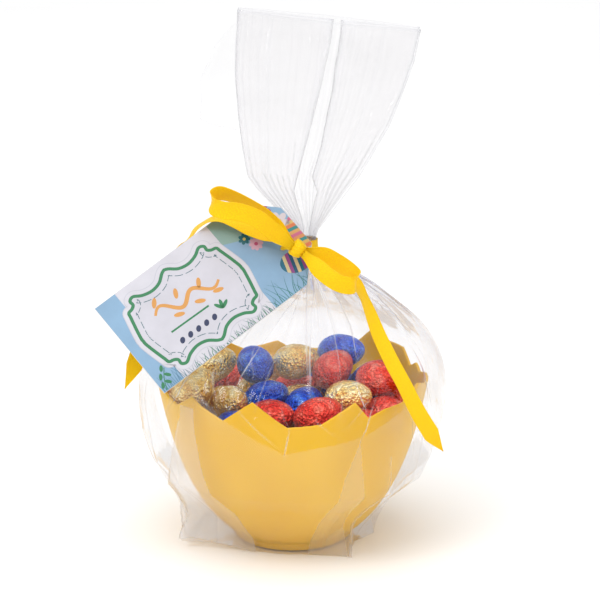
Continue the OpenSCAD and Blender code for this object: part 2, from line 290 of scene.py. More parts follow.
def film_material(name, clear_colour):
    """Clear crisp film. A per-point attribute of the mesh says how much painted white reflection a spot
    shows.
    """
    n = Nodes(name)
    ripple = n.add("TexNoise", Scale=70.0, Detail=3.0, Roughness=0.55)
    scuff = n.add("TexNoise", Scale=900.0, Detail=4.0, Roughness=0.6)
    n.map_objects(ripple, scuff)
    bump = n.bump(ripple, "Fac", 0.35, 0.002)
    clear = n.add("BsdfTransparent", Color=(*clear_colour, 1))
    gloss = n.add("BsdfGlossy", Color=(1, 1, 1, 1))
    n.link(n.roughness(scuff, 0.03, 0.14), "Result", gloss, "Roughness")
    n.link(bump, "Normal", gloss, "Normal")
    edge = n.add("LayerWeight", Blend=0.12)
    n.link(bump, "Normal", edge, "Normal")
    amount = n.add("MapRange", To_Min=0.016, To_Max=0.42)
    n.link(edge, "Fresnel", amount, "Value")
    shiny = n.mix((amount, "Result"), clear, gloss)
    # painted reflection: diffuse and translucent white in place of light reflected off the film, mixed in
    # by the per-point attribute
    white = n.add("BsdfDiffuse", Color=PAINTED_REFLECTION_WHITE)
    through = n.add("BsdfTranslucent", Color=PAINTED_REFLECTION_WHITE)
    painted_white_reflection = n.mix(0.5, white, through)
    painted_reflection = n.add("Attribute", attribute_name="painted_reflection")
    return n.surface(n.mix((painted_reflection, "Fac"), shiny, painted_white_reflection))


def satin_material():
    """Yellow satin ribbon: fine ribs across its width, brighter where it turns."""
    n = Nodes("satin_ribbon")
    uv = n.add("UVMap")
    ribs = n.add("TexWave", wave_type="BANDS", bands_direction="X", Scale=420.0,
                 Distortion=0.6, Detail=1.0)
    threads = n.add("TexWave", wave_type="BANDS", bands_direction="Y", Scale=900.0,
                    Distortion=0.4, Detail=1.0)
    fuzz = n.add("TexNoise", Scale=1500.0, Detail=4.0, Roughness=0.6)
    for t in (ribs, threads, fuzz):
        n.link(uv, "UV", t, "Vector")
    tint = n.ramp(fuzz, "Fac", [(0.36, srgb(248, 196, 0)), (0.64, srgb(255, 222, 0))])
    b1 = n.bump(ribs, "Fac", 0.35, 0.0002)
    b2 = n.bump(threads, "Fac", 0.2, 0.0001, b1)
    p = n.principled(tint, n.roughness(fuzz, 0.38, 0.55), b2, Sheen_Weight=0.12,
                     Specular_IOR_Level=0.25, Sheen_Roughness=0.4, Subsurface_Weight=0.15,
                     Subsurface_Radius=(0.002, 0.0015, 0.0003))
    thin = n.add("BsdfTranslucent")
    n.link(tint, "Color", thin, "Color")
    return n.surface(n.mix(0.25, p, thin))


# darkens every printed colour, so that it shows at its own shade under the bright studio light
CARD_SHADE = 0.62


def card_material(name, colour, spread=0.06, roughness=0.42):
    """Printed card: faint paper grain under a satin varnish."""
    colour = scaled(colour, CARD_SHADE)
    n = Nodes(name)
    grain = n.add("TexNoise", Scale=700.0, Detail=5.0, Roughness=0.6)
    mottle = n.add("TexNoise", Scale=60.0, Detail=4.0, Roughness=0.6)
    n.map_objects(grain, mottle)
    tint = n.ramp(mottle, "Fac", [(0.3, scaled(colour, 1 - spread)), (0.7, scaled(colour, 1 + spread))])
    rough = n.roughness(grain, roughness * 0.85, roughness * 1.2)
    bump = n.bump(grain, "Fac", 0.12, 0.0001)
    return n.surface(n.principled(tint, rough, bump))


GOLD = foil_material("gold_foil", srgb(255, 222, 140), srgb(238, 184, 92), srgb(255, 248, 208), 0.22)
RED = foil_material("red_foil", srgb(244, 78, 62), srgb(218, 34, 30), srgb(255, 142, 124), 0.27)
BLUE = foil_material("blue_foil", srgb(34, 92, 226), srgb(12, 52, 182), srgb(104, 160, 248), 0.27)
CHOCOLATE = chocolate_material()
PLASTIC = plastic_material()
# the body's film lets through less light than the tuft's: painted shade of its wrinkled folds
FILM = film_material("clear_film", (0.945, 0.942, 0.947))
TUFT_FILM = film_material("clear_film_tuft", (0.977, 0.974, 0.976))
SATIN = satin_material()

# ---------------------------------------------------------------- eggs
# an egg's greatest radius, and how much one end is blunter than the other
EGG_R = 10.5
EGG_BLUNT = 0.12


def egg_places(node):
    """Centre, long axis towards the slim end, half length and radius of each egg of a node."""
    bm = bmesh.new()
    bm.from_mesh(NODES[node].data)
    bmesh.ops.remove_doubles(bm, verts=bm.verts, dist=1e-6)
    bm.verts.ensure_lookup_table()
    seen = set()
    groups = []
    for v in bm.verts:
        if v.index in seen:
            continue
        seen.add(v.index)
        stack, members = [v], []
        while stack:
            w = stack.pop()
            members.append(w.co[:])
            for e in w.link_edges:
                o = e.other_vert(w)
                if o.index not in seen:
                    seen.add(o.index)
                    stack.append(o)
        groups.append(np.array(members) / MM)
    bm.free()
    places = []
    for pts in sorted(groups, key=lambda g: -np.ptp(g, axis=0).max()):
        mid = (pts.min(0) + pts.max(0)) / 2
        if any(np.linalg.norm(mid - c) < 4 for c, *_ in places):
            continue
        centred = pts - pts.mean(0)
        axis = np.linalg.eigh(centred.T @ centred)[1][:, -1]
        along = pts @ axis
        centre_line = pts.mean(0) - axis * (pts.mean(0) @ axis)
        centre = centre_line + axis * (along.min() + along.max()) / 2
        s = (pts - centre) @ axis
        r = np.linalg.norm(pts - centre - np.outer(s, axis), axis=1)
        if r[s > 2].max() > r[s < -2].max():
            axis = -axis
        places.append((centre, axis, np.ptp(along) / 2, r.max()))
    return places


def egg_mesh(place, seed, around, along):
    """Crinkled foil round one egg, as points and faces, with pleats drawn to its slim end."""
    centre, axis, half, _ = place
    side = np.cross(axis, (0, 0, 1) if abs(axis[2]) < 0.9 else (1, 0, 0))
    side /= np.linalg.norm(side)
    other = np.cross(axis, side)
    rng = np.random.default_rng(seed)
    t = np.pi * (np.arange(1, along) / along)
    f = 2 * np.pi * np.arange(around) / around
    tt, ff = np.meshgrid(t, f, indexing="ij")
    radius = EGG_R * np.sin(tt) * (1 + EGG_BLUNT * np.cos(tt))
    s = -half * np.cos(tt)
    local = np.stack([radius * np.cos(ff), radius * np.sin(ff), s], -1).reshape(-1, 3)
    out = np.stack([np.cos(ff) * np.sin(tt) / EGG_R, np.sin(ff) * np.sin(tt) / EGG_R,
                    -np.cos(tt) / half], -1).reshape(-1, 3)
    out /= np.linalg.norm(out, axis=1)[:, None]
    bumps = 0.13 * crumple(local, seed, 4.2) + 0.07 * crumple(local, seed + 7, 2.0)
    pleats = fold_wave(ff * 11 / (2 * np.pi) + 0.15 * np.sin(3 * ff + rng.uniform(0, 6))) - 0.5
    near_end = np.clip((tt - 2.2) / 0.9, 0, 1) ** 1.5 + 0.6 * np.clip((0.75 - tt) / 0.7, 0, 1) ** 1.5
    seam = 0.16 * np.exp(-((s - 0.6 * np.sin(2 * ff + seed)) / 0.8) ** 2)
    lift = bumps + (0.28 * pleats * near_end).ravel() + seam.ravel()
    local = local + out * (np.clip(lift, -0.22, 0.6))[:, None]
    local = np.vstack([local, [[0, 0, -half - 0.05], [0, 0, half + 0.1]]])
    points = centre + local[:, :1] * side + local[:, 1:2] * other + local[:, 2:] * axis
    return points, closed_tube(points, around, along - 1)


def egg_piece(name, node, material, body, seed, around, along):
    verts, faces, count = [], [], 0
    for k, place in enumerate(egg_places(node)):
        p, f = egg_mesh(place, seed + 31 * k, around, along)
        verts.append(p)
        faces += [tuple(i + count for i in q) for q in f]
        count += len(p)
    obj = make_object(name, np.vstack(verts), faces, [material])
    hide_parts(node)
    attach(obj, body)
    return obj


FOILS = {"gold": (GOLD, "gold_foil"), "red": (RED, "red_foil"), "blue": (BLUE, "blue_foil")}
LOOSE = ["blue_front", "gold_middle", "blue_back", "red_middle", "red_right", "gold_left"]
SEATED = ["seat_blue_left", "seat_gold_middle", "seat_blue_middle", "seat_red_centre",
          "seat_red_front_left", "seat_red_front", "seat_gold_right", "seat_red_right",
          "seat_gold_rim", "seat_gold_front", "seat_gold_far_left", "seat_blue_right"]
HIDDEN = ["upper_gold", "upper_red", "upper_blue", "lower_gold", "lower_red", "lower_blue"]

for number, key in enumerate(LOOSE + SEATED + HIDDEN):
    colour = next(c for c in FOILS if c in key.split("_"))
    foil, foil_slot = FOILS[colour]
    many = key in HIDDEN
    egg_piece("foil_" + key, key + ("_foils" if many else "_foil"), foil,
              "egg_" + key if key in LOOSE else "wrapped_bowl", 100 + 17 * number,
              40 if many else 112, 26 if many else 76)

for name, node in NODES.items():
    if name.endswith("core") or name.endswith("cores"):
        node.data.materials.clear()
        node.data.materials.append(CHOCOLATE)

# ---------------------------------------------------------------- bowl
# the wall's outer curve: the four control points of a Bezier, as radius and height
BOWL_CURVE = [(38, 6), (58, 22), (72, 50), (81.5, 107)]
WALL = 1.8
# the broken rim, as angle and height
RIM = [(-15, 99), (-5, 98), (5, 97), (14, 94), (20, 97), (25, 93.5), (33, 102), (44, 103),
       (54, 106), (60, 98), (79, 91.5), (91, 91), (97, 96), (104, 94), (112, 92), (128, 103),
       (145, 91), (160, 104), (178, 92), (192, 101), (205, 95), (213, 93), (225, 102),
       (229, 98), (240, 91.5), (254, 105.5), (261, 97.5), (268, 90.5), (282, 92), (289, 98),
       (296, 103.5), (303, 92.5), (311, 95.5), (323, 96), (333, 104), (345, 99)]


def wall_radius(z):
    """Outer radius of the bowl's wall at height z."""
    t = np.linspace(0, 1, 400)
    c = np.array(BOWL_CURVE, float)
    b = np.stack([(1 - t) ** 3, 3 * (1 - t) ** 2 * t, 3 * (1 - t) * t * t, t ** 3], -1) @ c
    return np.interp(z, b[:, 1], b[:, 0])


def rim_height(a):
    """Height of the broken rim at angles a."""
    first = RIM[0][0]
    x = [p[0] for p in RIM] + [first + 360]
    y = [p[1] for p in RIM] + [RIM[0][1]]
    return np.interp((np.asarray(a, float) - first) % 360 + first, x, y)


def build_bowl():
    angles = np.unique(np.concatenate([np.arange(-15, 345, 1.5), [p[0] for p in RIM]]))
    rng = np.random.default_rng(5)
    chips = 0.25 * (rng.random(len(angles)) - 0.5)
    chips[np.isin(angles, [p[0] for p in RIM])] = 0
    top = rim_height(angles) + chips
    cos, sin = np.cos(np.radians(angles)), np.sin(np.radians(angles))
    rows = []

    def ring(r, z):
        r = np.broadcast_to(r, angles.shape)
        z = np.broadcast_to(z, angles.shape)
        rows.append(np.stack([r * cos, r * sin, z], -1))

    # the foot ring
    for r, z in [(10, 5), (22, 5), (31.2, 5), (32, 4.4), (32, 1.2), (32.5, 0.6), (34.4, 0.6),
                 (35, 1.1), (35.6, 4), (36.6, 5.4)]:
        ring(r, z)
    # the outer wall, the rounded rim, the inner wall and the floor
    for s in np.linspace(0, 1, 26):
        z = 6 + (top - 0.7 - 6) * s
        ring(wall_radius(z), z)
    ring(wall_radius(top) - 0.15, top - 0.22)
    ring(wall_radius(top) - 0.55, top)
    ring(wall_radius(top) - WALL + 0.45, top)
    ring(wall_radius(top) - WALL + 0.1, top - 0.25)
    for s in np.linspace(1, 0, 24):
        z = 9.5 + (top - 0.8 - 9.5) * s
        ring(wall_radius(z) - WALL, z)
    for r, z in [(39, 8.1), (36, 7.6), (28, 7.5), (12, 7.5)]:
        ring(r, z)
    cols = len(angles)
    verts = np.vstack([*rows, [[0, 0, 5], [0, 0, 7.5]]])
    obj = make_object("bowl_shell", verts, closed_tube(verts, cols, len(rows)), [PLASTIC])
    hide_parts("bowl")
    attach(obj, "wrapped_bowl")


build_bowl()

# ---------------------------------------------------------------- film round the bowl
# the bag stands turned a little about the bowl
BAG_YAW = -12
# height, centre x, half width, half depth, squareness
BAG_LEVELS = np.array([
    (0, -3, 58, 42, 4.5), (12, -2, 65, 53, 3.6), (24, -1, 71, 64, 3), (40, 0, 78, 74, 2.4),
    (60, 0, 86, 80, 2.1), (78, 0, 90, 83.5, 2), (94, 0, 91, 85.5, 2), (108, 0, 88.5, 84, 2),
    (118, 1, 85, 73, 2), (130, 2, 77, 57, 2), (142, 4, 61, 43, 2), (154, 6, 43, 29, 2),
    (164, 7, 25, 17, 2), (171, 8, 7, 7, 2), (172.5, 8, 5.9, 5.9, 2), (181, 8, 5.7, 5.3, 2)], float)
# corners of the folded base as angle and radius
BASE_CORNERS = [(30, 54), (90, 45), (140, 66), (186, 66.5), (203.5, 69), (307, 54), (334, 41),
                (355, 49), (390, 54)]
# angles of the long creases between flat facets
CREASES = [182, 207, 232, 258, 285, 311, 335, 360, 385, 420, 455, 491, 520]
# where the front film turns in over the eggs, as angle and height
TURN_LINE = [(215, 118), (228, 112), (243, 95), (254, 87), (267, 77), (280, 81), (296, 85),
             (304, 90), (313, 97), (330, 112)]
# single folds: points of angle and height, width in degrees, height of the ridge, whiteness of the
# painted reflection streak along it
FOLDS = [
    ([(284, 164), (279, 151), (278, 139), (277, 126), (277, 108)], 2.4, 1.6, 0.55),
    ([(300, 164), (306, 150), (305, 140), (302, 130), (297, 113), (299, 99)], 3.2, -2.4, 0.45),
    ([(290, 160), (292, 140), (290, 120), (288, 100)], 3.0, 2.2, 0.25),
    ([(276, 164), (256, 146), (249, 130), (246, 116)], 2.4, 1.8, 0.55),
    ([(262, 164), (234, 149), (226, 128), (222, 104), (214, 86)], 3.4, 2.6, 0.4),
    ([(268, 160), (262, 138), (258, 118), (255, 98)], 2.0, -1.4, 0.2),
    ([(317, 162), (317, 143), (314, 120), (317, 94)], 3.0, 2.2, 0.35),
    ([(332, 162), (334, 140), (336, 118), (333, 92)], 3.4, -2.2, 0.2),
    ([(266, 101), (269, 92), (267, 77)], 1.6, 1.0, 0.6),
    ([(279, 96), (284, 90), (290, 83)], 1.8, 1.2, 0.75),
    ([(240, 116), (250, 100), (267, 78)], 1.6, 0.8, 0.3),
    ([(300, 104), (290, 92), (268, 78)], 1.6, 0.8, 0.25),
    ([(305, 112), (300, 98), (296, 84)], 1.6, 1.0, 0.4),
    ([(246, 128), (252, 118), (250, 106)], 1.8, 1.0, 0.4),
    ([(232, 120), (238, 108), (243, 96)], 1.8, 1.0, 0.3),
    ([(312, 106), (318, 92), (322, 70), (318, 40)], 2.4, 1.4, 0.2),
    ([(325, 96), (330, 70), (328, 35)], 2.4, -1.4, 0.15),
    ([(200, 120), (196, 90), (199, 50)], 2.4, 1.4, 0.15)]

# angle of the fin at the front left corner
FRONT_FIN = 204
# standing fins: angle, height, half width in degrees, and the heights between which they fade
FINS = [(FRONT_FIN, 5.0, 2.4, 30, 100), (308, 3.0, 1.6, 4, 90), (140, 5.0, 2.2, 5, 90),
        (182, 2.0, 1.8, 60, 110)]
# how far the front left corner of the base stands off the table, and its angle
CORNER_LIFT, CORNER_AT = 7, 200
# height up to which the base's two front corners stand straight
UPRIGHT = 19
# height at which the base has blended into the bag
BASE_TOP = 46


def front_fin_lean(z):
    """How far the front left fin has turned, in degrees, at height z."""
    return 18 * (z / 90) ** 1.2


def angle_gap(a, b):
    return (a - b + 180) % 360 - 180


def level_radius(hx, hy, e, a):
    return ((np.abs(np.cos(a)) / hx) ** e + (np.abs(np.sin(a)) / hy) ** e) ** (-1 / e)


def tent(x):
    return np.clip(1 - np.abs(x), 0, 1)


def base_radius(a):
    """Radius of the folded base at angles a, straight between its corners."""
    a = (a - BASE_CORNERS[0][0]) % 360 + BASE_CORNERS[0][0]
    r = np.zeros_like(a)
    for (a0, r0), (a1, r1) in zip(BASE_CORNERS, BASE_CORNERS[1:]):
        inside = (a >= a0) & (a <= a1)
        t0, t1 = math.radians(a0), math.radians(a1)
        t = np.radians(a[inside])
        r[inside] = r0 * r1 * math.sin(t1 - t0) / (r0 * np.sin(t - t0) + r1 * np.sin(t1 - t))
    return r


def smooth_levels(z, column):
    """A level table's column at heights z, with its corners eased over a few millimetres."""
    fine = np.arange(-20, 200.1, 0.5)
    value = np.interp(fine, BAG_LEVELS[:, 0], BAG_LEVELS[:, column])
    reach = np.interp(fine, [0, 100, 120, 160, 170, 181], [6, 8, 8, 5, 1.5, 1])
    out = np.empty_like(value)
    for i, width in enumerate(reach):
        w = np.exp(-0.5 * ((fine - fine[i]) / width) ** 2)
        out[i] = (w * value).sum() / w.sum()
    return np.interp(z, fine, out)


def facets(aa, low):
    """Factor that flattens the round wall between the long creases, most of all low down."""
    edges = np.array(sorted(CREASES), float)
    turned = (aa - edges[0]) % 360 + edges[0]
    slot = np.clip(np.searchsorted(edges, turned, side="right") - 1, 0, len(edges) - 1)
    left = edges[slot]
    right = np.where(slot + 1 < len(edges), edges[np.minimum(slot + 1, len(edges) - 1)],
                     edges[0] + 360)
    half = np.radians((right - left) / 2)
    mid = np.radians(turned - (left + right) / 2)
    chord = np.cos(half) / np.cos(mid)
    return 1 + 0.75 * (chord * (1 + 0.25 * (1 - np.cos(half))) - 1) * (0.35 + 0.65 * low)


def draw_fins(aa, zz, r, painted_reflection):
    """Adds the fins that stand along the folded edges, with a painted white highlight along each fin's
    crest.
    """
    for at, height, width, z0, z1 in FINS:
        fade = (1 - smoothstep(z0, z1, zz)) * height
        lean = front_fin_lean(zz) if at == FRONT_FIN else 2.5 * np.sin(zz / 30)
        shape = tent(angle_gap(aa, at + lean) / width)
        r += fade * shape
        # painted highlight along the fin's crest
        painted_reflection += 0.25 * shape ** 5 * (fade > 0.4)


def draw_pleats(aa, zz, r, painted_reflection):
    """Adds fine pleats drawn up to the neck with painted white highlights along their edges, then broad
    ones.
    """
    rng = np.random.default_rng(11)
    for _ in range(64):
        at = rng.uniform(0, 360)
        onset = rng.uniform(96, 150)
        width = rng.uniform(2.2, 6.5)
        depth = rng.uniform(-3.0, 2.6)
        gap = angle_gap(aa, at + rng.uniform(-5, 5) * (zz - 170) / 60)
        grow = smoothstep(onset, onset + 38, zz)
        r += depth * grow * tent(gap / width) * np.minimum(1, r / 26)
        # painted highlight along the pleat's crest, stronger on some pleats than others
        white = rng.uniform(0, 1) ** 2
        painted_reflection += 0.8 * white * grow * tent(gap / 0.9) * (1 - smoothstep(160, 172, zz))
    for k in range(9):
        at, width = 40 * k + rng.uniform(-8, 8), rng.uniform(9, 15)
        grow = smoothstep(104, 140, zz)
        r += rng.uniform(-4.0, 3.0) * grow * tent(angle_gap(aa, at) / width) * np.minimum(1, r / 30)


def draw_folds(aa, zz, r, painted_reflection):
    """Adds the single folds in FOLDS, each with a painted reflection streak along it."""
    for points, width, rise, white in FOLDS:
        p = np.array(points[::-1] if points[0][1] > points[-1][1] else points, float)
        at = np.interp(zz, p[:, 1], p[:, 0])
        ends = smoothstep(p[0, 1] - 4, p[0, 1] + 6, zz)
        ends = ends * (1 - smoothstep(p[-1, 1] - 4, p[-1, 1] + 4, zz))
        gap = angle_gap(aa, at)
        near_neck = np.minimum(1, r / 40)
        r += rise * tent(gap / width) * ends * near_neck
        # painted reflection streak along the fold's crest
        streak = tent(gap / (0.35 + 10 / np.maximum(r, 8))) ** 1.5
        painted_reflection += 1.8 * white * ends * streak * (0.55 + 0.45 * np.sin(zz / 5.5 + 3 * points[0][0]))


def draw_haze(aa, zz, pts, turn_z, front, painted_reflection):
    """Adds painted white reflection between the folds."""
    # painted soft clouds of reflected white on the slack film
    cloud = np.clip(crumple(pts, 29, 34).reshape(painted_reflection.shape) * 0.9 + 0.1, 0, 1)
    over_eggs = smoothstep(0, 0.25, tent(angle_gap(aa, 262) / 52))
    painted_reflection += 0.26 * cloud * smoothstep(60, 100, zz) * (1 - 0.9 * over_eggs)

    # painted reflection: hazier below the turned crease in front, and where film lies double
    painted_reflection += np.where((zz < turn_z) & front, 0.13, np.where(front & (zz < 112), 0.0, 0.02))
    # painted white reflection growing towards the neck
    painted_reflection += 0.13 * smoothstep(108, 150, zz)
    inner_edge = np.interp(zz, [18, 30, 57, 82, 100], [238, 236, 232, 230, 230])
    double = (aa > FRONT_FIN + front_fin_lean(np.minimum(zz, 90))) & (aa < inner_edge) & (zz < 98)
    painted_reflection += np.where(double, 0.26, 0)
    wedge_left = np.interp(zz, [3, 27, 60, 83], [283, 286, 291, 296])
    wedge = (aa > wedge_left) & (aa < np.interp(zz, [0, 83], [307, 296])) & (zz < 84)
    painted_reflection += np.where(wedge, 0.15, 0)


def build_film_body():
    cols = 900
    heights = np.concatenate([np.linspace(0, 70, 44), np.linspace(71, 171, 104),
                              np.linspace(172, 181, 7)])
    a = np.arange(cols) * 360 / cols
    zz, aa = np.meshgrid(heights, a, indexing="ij")
    cx, hx, hy, e = (smooth_levels(zz, k) for k in (1, 2, 3, 4))
    r = level_radius(hx, hy, e, np.radians(aa - BAG_YAW))
    painted_reflection = np.zeros_like(r)
    low = 1 - smoothstep(100, 125, zz)

    r *= facets(aa, low)

    # the folded base, and the flatter lower left side above it
    upright = np.maximum(tent(angle_gap(aa, CORNER_AT) / 34), tent(angle_gap(aa, 307) / 16))
    hold = 2 + (UPRIGHT - 2) * smoothstep(0, 0.6, upright)
    toward_base = 1 - np.clip((zz - hold) / (BASE_TOP - hold), 0, 1)
    r = r + (base_radius(aa) - r) * toward_base
    r -= 1.5 * tent(angle_gap(aa, 182) / 38) * tent((zz - 40) / 26)

    # the crease round the front where the film turns in over the eggs
    line = np.array(TURN_LINE, float)
    turn_z = np.interp(aa, line[:, 0], line[:, 1])
    front = (aa > line[0, 0]) & (aa < line[-1, 0])
    r += 1.6 * tent((zz - turn_z) / 22) * front

    draw_fins(aa, zz, r, painted_reflection)
    draw_pleats(aa, zz, r, painted_reflection)
    draw_folds(aa, zz, r, painted_reflection)

    # gathers squeezed by the ribbon
    squeeze = smoothstep(150, 171, zz)
    gather = fold_wave(aa * 26 / 360 + 0.2 * np.sin(np.radians(aa * 3)))
    r *= 1 - 0.26 * squeeze * gather
    # painted white highlights on the outer crests of the gathers
    painted_reflection += 0.4 * squeeze * (1 - gather) ** 3

    # slight crumple everywhere
    x = cx + r * np.cos(np.radians(aa))
    y = r * np.sin(np.radians(aa))
    pts = np.stack([x, y, zz], -1).reshape(-1, 3)
    near_turn = tent((zz - turn_z - 8) / 26) * front
    dent = crumple(pts, 3, 26).reshape(r.shape) * (0.5 + 0.3 * near_turn) \
        + crumple(pts, 9, 10).reshape(r.shape) * (0.15 + 0.25 * near_turn)
    r = r + dent * np.minimum(1, r / 40)

    # the film stays outside the bowl
    centre_x = cx * (1 - toward_base)
    x = centre_x + r * np.cos(np.radians(aa))
    y = r * np.sin(np.radians(aa))
    own = np.hypot(x, y)
    keep_out = np.where(zz < 104, wall_radius(np.clip(zz, 6, 107)) + 1.0, 0)
    push = np.maximum(keep_out / np.maximum(own, 1e-6), 1)
    x, y = x * push, y * push

    draw_haze(aa, zz, pts, turn_z, front, painted_reflection)
    painted_reflection = np.clip(painted_reflection, 0, 0.85)

    lift = CORNER_LIFT * tent(angle_gap(aa, CORNER_AT) / 34) * (1 - smoothstep(0, 30, zz))
    verts = np.stack([x, y, zz + lift], -1).reshape(-1, 3)
    obj = make_object("film_body", verts, grid_faces(len(heights), cols, True), [FILM])
    set_attribute(obj, "painted_reflection", painted_reflection)
    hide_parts("bag_front_panel", "bag_back_panel", "bag_left_gusset", "bag_right_gusset",
                "bag_neck")
    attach(obj, "wrapped_bowl")
    base = build_film_base(a, x[0], y[0], lift[0])
    return obj, base


def build_film_base(a, x, y, lift):
    """The folded base under the bowl, drawn in from the body's lowest edge."""
    rows = []
    for k, share in enumerate((0.995, 0.97, 0.9, 0.8, 0.6, 0.4, 0.2)):
        z = 0.1 + 0.25 * tent(((a * 4 / 360) % 1 - 0.5) * 5 * share) + lift * max(0, 1 - 1.6 * k / 6)
        z = np.where(np.hypot(x, y) * share < 40, np.minimum(z, 0.4), z)
        rows.append(np.column_stack([x * share, y * share, z]))
    cols = len(a)
    verts = np.vstack([*rows[::-1], [[0, 0, 0.15]]])
    faces = grid_faces(len(rows), cols, True)
    faces += [(len(verts) - 1, (i + 1) % cols, i) for i in range(cols)]
    obj = make_object("film_base", verts, faces, [FILM])
    # an even painted white reflection over the folded base
    set_attribute(obj, "painted_reflection", np.full(len(verts), 0.07))
    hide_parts("bag_base")
    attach(obj, "wrapped_bowl")
    return obj


film_body, film_base = build_film_body()
# enough see-through layers for the pleated film
bpy.context.scene.cycles.transparent_max_bounces = 24

# ---------------------------------------------------------------- the bag's open top
# Corners of the mouth by height: z, left x, right x, half depth at the corners,
# inner crease x of the left and right gussets, half depth at the middle
MOUTH = np.array([
    (180.5, 2.6, 13.4, 1.5, 6.5, 9.5, 4.6), (186, 2, 15, 2.0, 6.5, 9.5, 5.0),
    (192, -4, 19.5, 2.6, 5.5, 10.5, 5.6), (200, -12, 25.5, 3, 3, 12, 6.4),
    (208, -20, 31, 3.2, 1, 14, 7.2), (216, -26, 37, 3.4, 3, 11, 8),
    (232, -29, 46, 3.8, 7, 15, 9.5), (250, -31, 55, 4.2, 12, 19, 11),
    (272, -32, 63, 4.6, 17, 23, 12.5), (290, -32.5, 69, 5, 21, 26, 13.5),
    (309, -31, 72, 5.2, 23, 27, 14)], float)
# Depth of the fine pleats above the tie by height
PLEATS = 18
PLEAT_DEPTH = np.array([(180.5, 3.2), (190, 4.8), (205, 5.0), (216, 4.4), (232, 3.8), (250, 3.1),
                        (275, 2.1), (300, 1.5), (309, 1.3)])


def build_film_mouth():
    side = 144
    gusset = 36
    heights = np.concatenate([np.linspace(180.5, 215, 30), np.linspace(217, 309, 50)])
    lv = [np.interp(heights, MOUTH[:, 0], MOUTH[:, k]) for k in range(1, 7)]
    xl, xr, dc, gl, gr, dm = lv
    rng = np.random.default_rng(23)
    folds = [(rng.uniform(0.03, 0.97), rng.uniform(0.02, 0.07), rng.uniform(-1, 1),
              rng.uniform(0, 1)) for _ in range(15)]
    pleat_size = rng.uniform(0.55, 1.15, PLEATS)
    pleat_white = rng.uniform(0, 1, PLEATS) ** 2
    rows, painted_reflections = [], []
    for j, z in enumerate(heights):
        fine = np.interp(z, PLEAT_DEPTH[:, 0], PLEAT_DEPTH[:, 1])
        u = np.linspace(0, 1, side, endpoint=False)
        v = np.linspace(0, 1, gusset, endpoint=False)
        reach = np.clip((z - 180) / 60, 0, 1)
        bulge = 4 * u * (1 - u)

        def pleated(u, flip):
            y = np.zeros_like(u)
            m = np.zeros_like(u)
            for at, width, depth, white in folds:
                c = (at if flip == 0 else 1 - at * 0.93)
                w = width * (1.6 - 0.6 * reach)
                t = tent((u - c) / w)
                swell = (0.35 + 0.65 * reach) * (0.5 + 0.5 * np.sin(z / 27 + at * 9))
                y += depth * t * (2.6 - 1.2 * reach) * swell
                # painted highlight along each broad fold
                m += white * 0.22 * tent((u - c) / 0.012) * (1.1 - reach * 0.8)
            slot = np.minimum((u * PLEATS).astype(int), PLEATS - 1)
            wave = fold_wave(u * PLEATS)
            y += fine * (wave - 0.5) * pleat_size[slot] / 0.8
            # painted highlights on the fine pleats' edges
            m += 0.3 * pleat_white[slot] * (1 - wave) ** 4 * (1 - 0.8 * reach)
            return y, m

        y, m1 = pleated(u, 0)
        front = np.stack([xl[j] + (xr[j] - xl[j]) * u, -dc[j] - (dm[j] - dc[j]) * bulge + y * 0.8,
                          np.full(side, z)], -1)
        depth = -dc[j] * (1 - 2 * v)
        fold = 1 - np.abs(2 * v - 1)
        right = np.stack([xr[j] + (gr[j] - xr[j]) * fold, depth, np.full(gusset, z)], -1)
        y, m2 = pleated(u, 1)
        back = np.stack([xr[j] + (xl[j] - xr[j]) * u, dc[j] + (dm[j] - dc[j]) * bulge + y * 0.8,
                         np.full(side, z)], -1)
        left = np.stack([xl[j] + (gl[j] - xl[j]) * fold, -depth, np.full(gusset, z)], -1)
        ring = np.vstack([front, right, back, left])
        # painted highlight along each gusset's crease
        crease = 0.15 * tent((v - 0.5) / 0.05)
        m = np.concatenate([m1, crease, m2, crease])
        # painted white haze near the tie
        m += 0.16 * np.exp(-(z - 180) / 9)
        # painted highlight along the four corner lines
        corner = np.zeros(len(m))
        for c in (0, side, side + gusset, 2 * side + gusset):
            corner[c] = 0.25
        rows.append(ring)
        painted_reflections.append(m + corner)
    verts = np.concatenate(rows)
    reach = smoothstep(190, 260, verts[:, 2])
    verts[:, 1] += crumple(verts, 41, 30) * 1.3 * reach + crumple(verts, 43, 13) * 0.4 * reach
    verts[:, 0] += crumple(verts, 47, 34) * 1.0 * reach
    share = smoothstep(180, 309, verts[:, 2])
    verts[:, 2] -= 0.12 * (verts[:, 0] - 8) * share * (verts[:, 2] > 200) * 0.9
    cols = 2 * (side + gusset)
    faces = grid_faces(len(heights), cols, True)
    # a faint even painted reflection, and a painted highlight along the top edge
    painted_reflection = np.concatenate(painted_reflections) + 0.02
    painted_reflection[-cols:] += 0.2
    return verts, faces, painted_reflection


# The left gusset's outer corner is folded out: rows of points from its free edge to the bag
FLAP_ROWS = [
    [(-28, 309), (-30, 308), (-31, 306)], [(-36, 302), (-33.5, 303), (-31, 303)],
    [(-43, 294), (-37.5, 294), (-31.5, 293)], [(-47.5, 284), (-40, 283), (-32, 280)],
    [(-52, 274), (-42.5, 271), (-32.5, 267)], [(-52, 262), (-43, 258), (-32, 255)],
    [(-53, 250), (-43, 247), (-31.5, 244)]]


